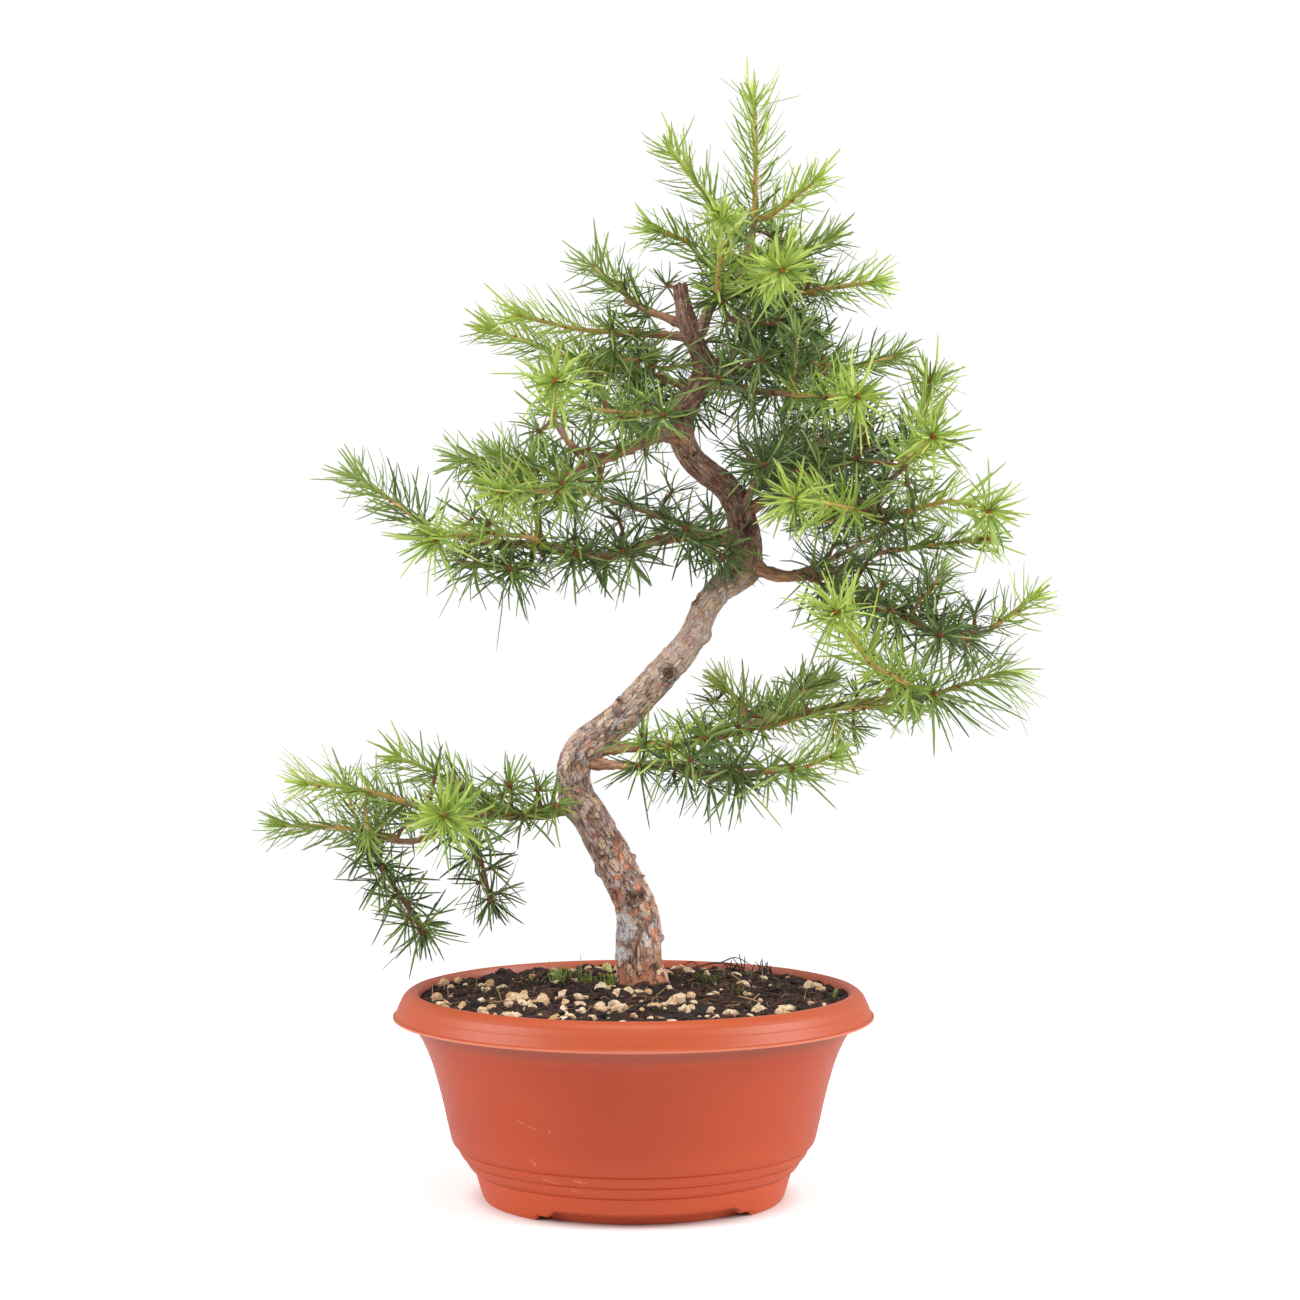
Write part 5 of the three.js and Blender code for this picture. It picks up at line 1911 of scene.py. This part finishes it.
def build_tree() -> None:
    """The wood, the foliage and what belongs to both."""
    tree = Tree()
    hand_over(tree.grow_trunk(), BarkFinish().material(), "bark", "trunk_and_branches")
    hand_over(tree.grow_limbs(), LimbBarkFinish().material(), "bark", "trunk_and_branches")
    Foliage(tree).build()
    for name, gathering, finish in (
        ("young_stems", tree.young, ShootBarkFinish()), ("buds", tree.buds, BudFinish())
    ):
        piece = gathering.piece(name, "youth")
        smooth(piece)
        hand_over(piece, finish.material(), "bark")


# ------------------------------------------------------------------ the bowl


@dataclass
class Bowl:
    """The moulded bowl: sizes in millimetres."""

    steps: int = 240
    skirt_top: float = 8.0
    skirt_outside_slope: float = 0.3
    arch_from: float = -39.0
    arch_to: float = 50.0
    arch_step: float = 6.5
    arch_shoulder: float = 2.6
    arch_crown: float = 6.2
    skirt_inner_radius: float = 71.9
    skirt_middle_radius: float = 72.4
    base_edge: float = 4.3
    drain_radius: float = 5.0
    drain_circle: float = 38.0
    drains: int = 4
    wall_until: float = 110.0
    wall_guess: float = -80.0

    underside: tuple = (
        (0, 4.5), (36, 4.5), (66.2, 4.5), (67.3, 4.3), (67.4, 0.5), (67.7, 0.2), (68.0, 0.5),
        (68.1, 1.9), (69.3, 2.1), (69.6, 4.5), (70, 4.8), (71.6, 4.8), (72.1, 4.4), (72.2, 0.4),
        (72.6, 0), (74.1, 0),
    )
    outside: tuple = (
        (74.5, 0.2), (74.7, 0.7), (74.8, 1.3), (75.5, 1.7), (75.8, 2.8), (76.6, 5.2), (77.7, 8.8),
        (78.7, 12.2), (79.1, 13.5), (79.1, 14), (78.9, 14.3), (79.2, 14.6), (80, 14.9), (81.3, 15.7),
        (82.5, 17), (83.4, 18.5), (83.9, 19.6), (83.9, 20), (83.7, 20.3), (84, 20.6), (84.7, 20.9),
        (85.7, 21.6), (86.6, 22.8), (87.3, 24.3), (87.7, 25.4), (87.7, 25.8), (87.5, 26.1), (87.8, 26.4),
        (88.5, 26.7), (89.5, 27.4), (90.4, 28.6), (91, 30), (91.5, 32), (92.1, 34.5), (92.9, 38), (95.1, 48),
        (97.6, 58), (100.5, 68), (102.8, 74), (104.1, 77), (104.6, 77.8), (104.8, 78.6), (105.8, 80.5),
        (107.2, 82.6), (107.9, 85), (108.9, 92), (109.8, 99), (110.8, 100.2), (112.4, 99.4),
        (115, 96.2), (117.2, 92.4), (117.9, 90.4),
    )
    rim: tuple = (
        (118.2, 90), (119.6, 90), (120, 90.3), (120, 91.1), (119.7, 91.4), (118.9, 91.6), (118.6, 92),
        (118.2, 93.2), (117.6, 95.1), (117.2, 96.1), (116.9, 96.3), (116.8, 96.8), (116, 98.6),
        (115.3, 100), (114.9, 100.3), (114.8, 100.8), (113.4, 102.2), (111.8, 103.2), (110.4, 103.6),
        (109.3, 103.5), (108.5, 103), (108, 102.2),
    )
    inside: tuple = (
        (107.4, 98), (106.6, 92), (105.2, 84.5), (103.6, 80.6), (100.4, 74), (96.4, 62), (92.7, 48),
        (90.6, 38), (89, 31.6), (85.6, 26.6), (81.8, 21), (77.4, 14.2), (75, 9.8), (73, 7.1),
        (36, 7.1), (0, 7.1),
    )

    # Where the plastic is scratched: the [across, up] ends of each dotted scratch, and its width.
    scratches: tuple = (
        (-57.8, 37.0, -48.2, 32.1, 0.5), (-42.6, 33.0, -42.1, 31.3, 0.6), (-51.9, 17.5, -47.2, 12.3, 0.5),
        (-51.5, 17.0, -49.6, 15.6, 1.1), (-45.1, 7.7, -37.5, 5.3, 1.0), (-29.4, 6.9, -23.7, 5.5, 1.0),
        (-30.5, 2.3, -28.4, 1.6, 0.8), (29.0, -6.4, 51.0, -3.6, 0.35),
    )

    def arch_height(self, degrees: float) -> float:
        """How far the skirt is cut away at an angle from the front, on the front and the back.

        Args:
            degrees: The angle, in degrees.

        Returns:
            The height of the cut, in millimetres.
        """
        degrees = (degrees + 90) % 180 - 90
        inward = min(degrees - self.arch_from, self.arch_to - degrees)
        if inward <= 0:
            return 0.0
        ends = [0.0, 1.2, self.arch_step, self.arch_step + 3.4]
        heights = [0.0, self.arch_shoulder, self.arch_shoulder, self.arch_crown]
        return float(np.interp(inward, ends, heights))

    def cut_arches(self, piece: Object) -> None:
        """Lift the lower edge of the foot skirt where the arches are.

        Args:
            piece: The turned bowl.
        """
        corners = corners_of(piece)
        for row in corners:
            x, y = (row[:2] - POT_AXIS[:2]) / MM
            radius, height = math.hypot(x, y), row[2] / MM
            if radius < self.skirt_inner_radius or height > self.skirt_top:
                continue
            lift = self.arch_height(math.degrees(math.atan2(x, -y)))
            if radius < self.skirt_middle_radius:
                lift = min(lift, self.base_edge)
                new_height, new_radius = max(height, lift), radius
            else:
                new_height = lift + height * (self.skirt_top - lift) / self.skirt_top
                new_radius = radius + self.skirt_outside_slope * (new_height - height)
            row[:2] = POT_AXIS[:2] + (row[:2] - POT_AXIS[:2]) * new_radius / radius
            row[2] = new_height * MM
        move_corners(piece, corners)

    def drill(self, piece: Object) -> None:
        """Cut the drain holes through the base.

        Args:
            piece: The bowl.
        """
        for number in range(self.drains):
            angle = math.tau * (number + 0.5) / self.drains
            reach = self.drain_circle * MM
            spot = POT_AXIS + np.array([reach * math.cos(angle), reach * math.sin(angle), 5 * MM])
            deselect_all()
            bpy.ops.mesh.primitive_cylinder_add(
                vertices=24, radius=self.drain_radius * MM, depth=10 * MM, location=tuple(spot)
            )
            drill = bpy.context.object
            cut = piece.modifiers.new("drain", "BOOLEAN")
            cut.operation = "DIFFERENCE"
            cut.object = drill
            choose(piece)
            bpy.ops.object.modifier_apply(modifier=cut.name)
            bpy.data.objects.remove(drill)

    def on_wall(self, across: float, up: float) -> np.ndarray:
        """The point of the outer wall's front that an [across, up] reading falls on.

        Args:
            across: The reading across, in millimetres.
            up: The reading up, in millimetres.

        Returns:
            The point, in metres.
        """
        radii, heights = zip(*(corner for corner in self.outside if corner[0] < self.wall_until))
        back = self.wall_guess
        for _ in range(4):
            point = (place([across, up, back]) - POT_AXIS) / MM
            back = -math.sqrt(np.interp(point[2], heights, radii) ** 2 - point[0] ** 2)
        return place([across, up, back])

    def build(self) -> None:
        """Turn, cut, drill and dress the bowl."""
        profile = [*self.underside, *self.outside, *self.rim, *self.inside]
        piece = turned("bowl", profile, self.steps)
        self.cut_arches(piece)
        self.drill(piece)
        smooth(piece, 24)
        scratches = [
            (self.on_wall(x0, z0), self.on_wall(x1, z1), wide * MM) for x0, z0, x1, z1, wide in self.scratches
        ]
        hand_over(piece, BowlPlastic().material(scratches), "pot_plastic", "pot")


# ------------------------------------------------------------------ the growing mix


# Thin straws that stand upright, as [x, y, height].
UPRIGHT_STRAWS = (
    (-100, -8, 7), (-95, 4, 9), (-91, -20, 8), (-79, 6, 7), (-43, 30, 11), (-38, 22, 9),
    (-27, 40, 12), (30, 40, 8), (66, 30, 10), (84, -20, 6), (-64, -30, 8), (12, -58, 7),
)

# The [x, y, lift] points of the straws and roots that show plainly, then thickness and tone.
PLAIN_STRAWS = (
    (((44, 64, 1), (50, 42, 1.6), (54, 30, 1)), 0.8, 0.95),
    (((52, -24, 1), (58, -34, 1.8), (62, -44, 1)), 0.6, 0.9),
    (((62, -24, 1.4), (58, -36, 1.8), (56, -46, 1)), 0.45, 0.85),
    (((-24, 48, 1.5), (-16, 36, 2.4), (-8, 30, 1.2)), 1.5, 0.5),
    (((22, 66, 1), (34, 84, 3), (46, 96, 5), (58, 88, 3)), 0.7, 0.12),
    (((34, 84, 3), (30, 98, 5), (24, 100, 3)), 0.4, 0.12),
    (((46, 96, 5), (54, 99, 7), (64, 92, 3)), 0.4, 0.12),
    (((-70, -40, 1.5), (-60, -46, 2.2), (-52, -44, 1.2)), 0.5, 0.7),
)

# Black twigs that stand at the back right, as [x, y, height].
BLACK_TWIGS = ((57, 84, 12), (62, 80, 9), (68, 82, 10), (73, 76, 8), (52, 88, 7))

# Tufts of moss, and the sprout at the far right: x, y, spread, stems, height and lightness.
MOSS_TUFTS = (
    (-38, 8, 3.5, 26, 8.5, 0.75), (-36, 22, 3, 10, 7, 0.7), (-28, 24, 4, 14, 5, 0.5),
    (-22, 10, 4, 16, 6, 0.75), (-12, 0, 4, 18, 6, 0.7), (-10, 10, 3, 10, 5, 0.6),
    (-50, 24, 4, 10, 4, 0.4), (34, 20, 6, 20, 5.5, 0.2), (38, 12, 4, 12, 5, 0.3),
    (52, -18, 4, 12, 4, 0.15), (46, 34, 5, 10, 4.5, 0.15), (70, 6, 3, 8, 4, 0.2),
    (99, -12, 0.9, 4, 5, 0.95), (-66, 0, 4, 8, 3.5, 0.3), (4, 60, 6, 14, 4, 0.4),
    (-34, 70, 7, 16, 4, 0.4), (60, 60, 6, 12, 4, 0.3),
)


@dataclass
class GrowingMix:
    """The soil and all that lies on it: sizes in millimetres."""

    mound_height: float = 104.4
    edge_height: float = 99.6
    mound_radius: float = 24.0
    edge_radius: float = 107.0
    crumbs: int = 2500
    stones: int = 1500
    straws: int = 300
    steps: int = 220
    ring_gap: float = 1.05
    body_top: float = 95.0
    underside: float = 7.4
    wall: tuple = (
        (72.5, 7.4), (74.6, 9.9), (77, 14.4), (81.4, 21.2), (85.2, 26.8), (88.6, 31.8),
        (92.3, 48.2), (100, 74.1), (104.8, 84.5),
    )
    stray: float = 103.0

    def __post_init__(self) -> None:
        """Seed the scatter."""
        self.rng = np.random.default_rng(5)
        foot = place([4, 104, 15])
        self.trunk_foot = (foot - POT_AXIS)[:2] / MM

    def height(self, radius: float) -> float:
        """Height of the smooth mound at a distance from the pot's axis."""
        share = min(max((radius - self.mound_radius) / (self.edge_radius - self.mound_radius), 0), 1)
        fall = share * share * (3 - 2 * share)
        return self.mound_height + (self.edge_height - self.mound_height) * fall

    def surface(self, x: float, y: float) -> float:
        """Height of the lumpy surface at a place, from the pot's axis.

        Args:
            x: How far to the right of the pot's axis, in millimetres.
            y: How far behind it, in millimetres.

        Returns:
            The height, in millimetres.
        """
        radius = math.hypot(x, y)
        spot = Vector((x, y, 0))
        lumps = 2.2 * noise.noise(spot / 15) + 1.8 * noise.noise(spot / 6.5)
        grit = 0.9 * noise.noise(spot / 2.8) + 0.55 * noise.noise(spot / 1.3)
        gap = math.hypot(x - self.trunk_foot[0], y - self.trunk_foot[1])
        near = min(max((gap - 12) / 6, 0.15), 1)
        return self.height(radius) + near * lumps + grit

    def scatter(self, inner: float = 15.0, outer: float = 104.5) -> tuple[float, float]:
        """A random place on the soil, clear of the trunk.

        Args:
            inner: The least distance from the trunk, in millimetres.
            outer: The largest distance from the pot's axis, in millimetres.

        Returns:
            The place, in millimetres from the pot's axis.
        """
        while True:
            angle, radius = self.rng.uniform(0, math.tau), outer * math.sqrt(self.rng.uniform(0, 1))
            x, y = radius * math.cos(angle), radius * math.sin(angle)
            if math.hypot(x - self.trunk_foot[0], y - self.trunk_foot[1]) > inner:
                return x, y

    def at(self, x: float, y: float, lift: float) -> np.ndarray:
        """The point, in metres, that lies lift above the surface."""
        return POT_AXIS + MM * np.array([x, y, self.surface(x, y) + lift])

    def stoniness(self, x: float, y: float) -> float:
        """How thickly the pale stones lie: most at the front left, few at the back and the right.

        Args:
            x: How far to the right of the pot's axis, in millimetres.
            y: How far behind it, in millimetres.

        Returns:
            A share, from 0 to 1.
        """
        front = min(max((-y - 8) / 55, 0.08), 1.0)
        left = 1 - 0.75 * min(max((x - 10) / 50, 0.0), 1.0)
        left *= 1 - 0.6 * math.exp(-(((x - 8) / 18) ** 2)) * min(max((-y - 20) / 30, 0.0), 1.0)
        patches = 0.55 + 1.3 * noise.noise(Vector((x / 14, y / 14, 3)))
        return 0.07 + 0.93 * front * left * min(max(patches, 0.15), 1.0)

    def lay_surface(self) -> Object:
        """The soil's body, turned and then crumbled on top."""
        rings = [
            self.edge_radius - self.ring_gap * step for step in range(int(self.edge_radius / self.ring_gap))
        ]
        top = [(radius, self.height(radius)) for radius in rings]
        profile = [(0, self.underside), *self.wall, *top, (0, self.mound_height)]
        piece = turned("growing_mix", profile, self.steps)
        corners = corners_of(piece)
        for row in corners:
            x, y = (row[:2] - POT_AXIS[:2]) / MM
            if row[2] > self.body_top * MM:
                row[2] = MM * self.surface(x, y)
        move_corners(piece, corners)
        smooth(piece, 60)
        return piece

    def dented(self, ball: np.ndarray, size: float, flat: float, depth: float = 1.0) -> np.ndarray:
        """A dented and turned copy of a small ball.

        Args:
            ball: The ball's corners.
            size: About the copy's radius, in millimetres.
            flat: About how high it is, as a share of its size.
            depth: How deep the dents are: 0 for none, 1 for rough.

        Returns:
            The copy's corners, in metres from its middle.
        """
        rng = self.rng
        stretch = np.array([rng.uniform(0.95, 1.35), rng.uniform(0.7, 1.0), flat * rng.uniform(0.8, 1.2)])
        seed = Vector(rng.uniform(-50, 50, 3))
        dents = np.array([
            1 + depth * (
                0.5 * noise.noise(Vector(row / MM) * 0.9 + seed)
                + 0.3 * noise.noise(Vector(row / MM) * 2.2 + seed)
            )
            for row in ball
        ])
        return (ball * dents[:, None] * size * stretch) @ turn_matrix(rng, 0.5).T

    def lay_crumbs(self) -> Gathering:
        """Dark crumbs of peat and bark all over."""
        rng, gathering = self.rng, Gathering()
        ball, faces = lump_shape(1)
        for _ in range(self.crumbs):
            x, y = self.scatter()
            size = 0.6 + 3.5 * rng.uniform(0, 1) ** 2.6
            spot = self.at(x, y, -0.1 * size)
            gathering.add(self.dented(ball, size, 0.7) + spot, faces, rng.uniform(0, 1))
        return gathering

    def lay_stones(self) -> Gathering:
        """Pale stones where they lie thickly, and the round greenish one behind the trunk's left."""
        rng, gathering = self.rng, Gathering()
        ball, faces = lump_shape(2)
        for _ in range(self.stones):
            x, y = self.scatter()
            if rng.uniform(0, 1) > self.stoniness(x, y) * 0.85:
                continue
            size = 1.0 + 2.5 * rng.uniform(0, 1) ** 1.3
            gathering.add(
                self.dented(ball, size, 0.85) + self.at(x, y, 0.25 * size), faces, rng.uniform(0, 0.9)
            )
        gathering.add(self.dented(ball, 3.1, 1.1, 0.3) + self.at(-14, 56, 2.6), faces, 1.0)
        return gathering

    def lay_straw(self, gathering: Gathering, notes: Sequence[Note], thick: float, tone: float) -> None:
        """One straw, root or twig through [x, y, lift] points over the soil.

        Args:
            gathering: What it joins.
            notes: Its points, in millimetres.
            thick: Its radius at the thick end, in millimetres.
            tone: 0 for black, 1 for pale.
        """
        points = np.array([self.at(*note) for note in notes])
        course = Course(points, np.linspace(1, 0.45, len(points)) * thick * MM, 2.2 * MM)
        gathering.add(*tube_shape(course, course.radii, 5), tone)

    def lay_straws(self) -> Gathering:
        """Straws and rootlets that lie about, a few that stand, and the ones that show plainly."""
        rng, gathering = self.rng, Gathering()
        for _ in range(self.straws):
            x, y = self.scatter(14, 96)
            way, length = rng.uniform(0, math.tau), rng.uniform(5, 20)
            notes = []
            for share in (0, 0.35, 0.7, 1.0):
                way += rng.normal(0, 0.4)
                across, along = x + share * length * math.cos(way), y + share * length * math.sin(way)
                squeeze = min(1.0, self.stray / max(math.hypot(across, along), 1))
                notes.append((across * squeeze, along * squeeze, rng.uniform(0.2, 1.5)))
            self.lay_straw(gathering, notes, rng.uniform(0.16, 0.36), rng.uniform(0.2, 0.75))
        for x, y, tall in UPRIGHT_STRAWS:
            lean = rng.normal(0, 1.2, 2)
            notes = [(x, y, -2), (x + 0.5 * lean[0], y, 0.5 * tall), (x + lean[0], y + lean[1], tall)]
            self.lay_straw(gathering, notes, 0.26, 0.95)
        for notes, thick, tone in PLAIN_STRAWS:
            self.lay_straw(gathering, notes, thick, tone)
        self.lay_black_twigs(gathering)
        return gathering

    def lay_black_twigs(self, gathering: Gathering) -> None:
        """The dry black twigs that stand at the back right.

        Args:
            gathering: What they join.
        """
        for across, back, tall in BLACK_TWIGS:
            foot = self.at(across, back, -1)
            tip = foot + MM * np.array([self.rng.uniform(-5, 5), self.rng.uniform(-4, 2), tall])
            for lean in (0.0, 0.5, -0.6):
                end = tip + MM * np.array([6 * lean, 0, -3 * abs(lean)])
                middle = foot + (end - foot) * 0.45 + MM * self.rng.normal(0, 0.8, 3)
                course = Course(np.array([foot, middle, end]), np.array([0.5, 0.35, 0.2]) * MM, 2 * MM)
                gathering.add(*tube_shape(course, course.radii, 5), 0.03)

    def grow_moss(self) -> Object:
        """Tufts of moss, as many small upright leafy stems, and one pale sprout at the right."""
        rng, blades = self.rng, Blades()
        for across, back, spread, stems, height, lightness in MOSS_TUFTS:
            for _ in range(int(0.8 * stems)):
                x, y = across + rng.normal(0, 0.5 * spread), back + rng.normal(0, 0.5 * spread)
                foot = self.at(x, y, -0.3)
                tall = height * rng.uniform(0.45, 1.1)
                lean = unit(np.array([rng.normal(0, 0.16), rng.normal(0, 0.16), 1.0]))
                turn = rng.uniform(0, math.tau)
                leaves = int(6 + 2.2 * tall)
                for number in range(leaves):
                    share = (number + 0.5) / leaves
                    turn += GOLDEN_ANGLE
                    out = np.array([math.cos(turn), math.sin(turn), 0])
                    blades.add(
                        foot + lean * tall * MM * share, unit(out + lean * (0.7 + share)), lean,
                        0.1 * lean, rng.uniform(0.9, 1.7) * MM, rng.uniform(0.3, 0.5) * MM,
                        lightness - 0.35 + rng.normal(0, 0.16) + 0.6 * share,
                    )
        return blades.piece("moss", LEAFLET)

    def build(self) -> None:
        """Lay the soil, the crumbs, the stones, the litter and the moss."""
        soil = GrowingMixFinish().material()
        hand_over(self.lay_surface(), soil, "soil_mix", "soil")
        hand_over(self.lay_crumbs().piece("crumbs", "tone"), soil, "soil_mix")
        stones = self.lay_stones().piece("pumice", "tone")
        smooth(stones, 40)
        hand_over(stones, PumiceFinish().material(), "pumice", "pumice_1", "pumice_2", "pumice_3")
        straws = self.lay_straws().piece("straws_and_twigs", "tone")
        hand_over(straws, LitterFinish().material(), "soil_mix")
        hand_over(self.grow_moss(), needle_finish("moss"), "moss", "moss_1", "moss_2")


# ------------------------------------------------------------------ studio


@dataclass
class Studio:
    """A pale floor, soft lights and a camera at the height of the branches."""

    camera_across: float = 8.2
    camera_back: float = -1400.0
    camera_up: float = 299.42
    pitch_down: float = 0.019
    lens: float = 77.70
    sky: float = 0.55
    white: float = 1.02
    floor_lift: float = 0.42
    floor_grey: float = 0.84
    floor_size: float = 1.7
    lift_starts: Span = (0.071, 0.088)
    aim_height: float = 0.28
    # Each soft light's name, place, size and power.
    lights: tuple = (
        ("key", (-1.7, -0.55, 1.0), 1.2, 27), ("fill", (1.7, -0.4, 1.0), 1.2, 31),
        ("top", (0.0, -0.5, 2.0), 1.0, 14),
    )

    def light(self, name: str, spot: tuple, size: float, watts: float) -> None:
        """A soft square light that looks at the tree.

        Args:
            name: Its name.
            spot: Its place, in metres.
            size: Its side, in metres.
            watts: Its power.
        """
        deselect_all()
        bpy.ops.object.light_add(type="AREA", location=spot)
        lamp = bpy.context.object
        lamp.name = name
        lamp.data.size = size
        lamp.data.energy = watts
        aim = Vector((0, 0, self.aim_height)) - Vector(spot)
        lamp.rotation_euler = aim.to_track_quat("-Z", "Y").to_euler()

    def light_sky(self) -> None:
        """A world that shows white behind the tree and lights it more softly."""
        world = bpy.data.worlds.new("studio")
        world.use_nodes = True
        tree = world.node_tree
        around, behind = tree.nodes["Background"], tree.nodes.new("ShaderNodeBackground")
        for node, strength in ((around, self.sky), (behind, self.white)):
            node.inputs["Color"].default_value = (1, 1, 1, 1)
            node.inputs["Strength"].default_value = strength
        seen, choice = tree.nodes.new("ShaderNodeLightPath"), tree.nodes.new("ShaderNodeMixShader")
        tree.links.new(seen.outputs["Is Camera Ray"], choice.inputs["Fac"])
        tree.links.new(around.outputs[0], choice.inputs[1])
        tree.links.new(behind.outputs[0], choice.inputs[2])
        tree.links.new(choice.outputs[0], tree.nodes["World Output"].inputs["Surface"])
        bpy.context.scene.world = world

    def build(self) -> None:
        """Set up the floor, the lights and the camera."""
        scene = bpy.context.scene
        scene.view_settings.view_transform = "Standard"
        self.light_sky()
        deselect_all()
        bpy.ops.mesh.primitive_plane_add(size=self.floor_size)
        floor = bpy.context.object
        floor.name = "floor"
        paper = Recipe("floor_paper")
        seen = Field(paper, paper.node("ShaderNodeLightPath").outputs["Is Camera Ray"])
        x, y, _ = paper.split(paper.place())
        off_axis = ((x - float(POT_AXIS[0])) ** 2 + (y - float(POT_AXIS[1])) ** 2) ** 0.5
        beside = off_axis.rise(*self.lift_starts)
        floor.data.materials.append(paper.finish(
            Base_Color=(self.floor_grey,) * 3 + (1,), Roughness=0.9, Emission_Color=(1, 1, 1, 1),
            Emission_Strength=seen * beside * self.floor_lift, Specular_IOR_Level=0.1,
        ))
        for name, spot, size, watts in self.lights:
            self.light(name, spot, size, watts)
        deselect_all()
        spot = POT_AXIS + MM * np.array([self.camera_across, self.camera_back, self.camera_up])
        bpy.ops.object.camera_add(location=tuple(spot), rotation=(math.pi / 2 - self.pitch_down, 0, 0))
        camera = bpy.context.object
        camera.data.lens = self.lens
        camera.data.sensor_width = 36
        camera.data.dof.use_dof = False
        scene.camera = camera


def main() -> None:
    """Build every sub-assembly in order."""
    logging.basicConfig(level=logging.INFO, format="%(name)s: %(message)s")
    Studio().build()
    Bowl().build()
    GrowingMix().build()
    build_tree()


if __name__ == "__main__":
    main()
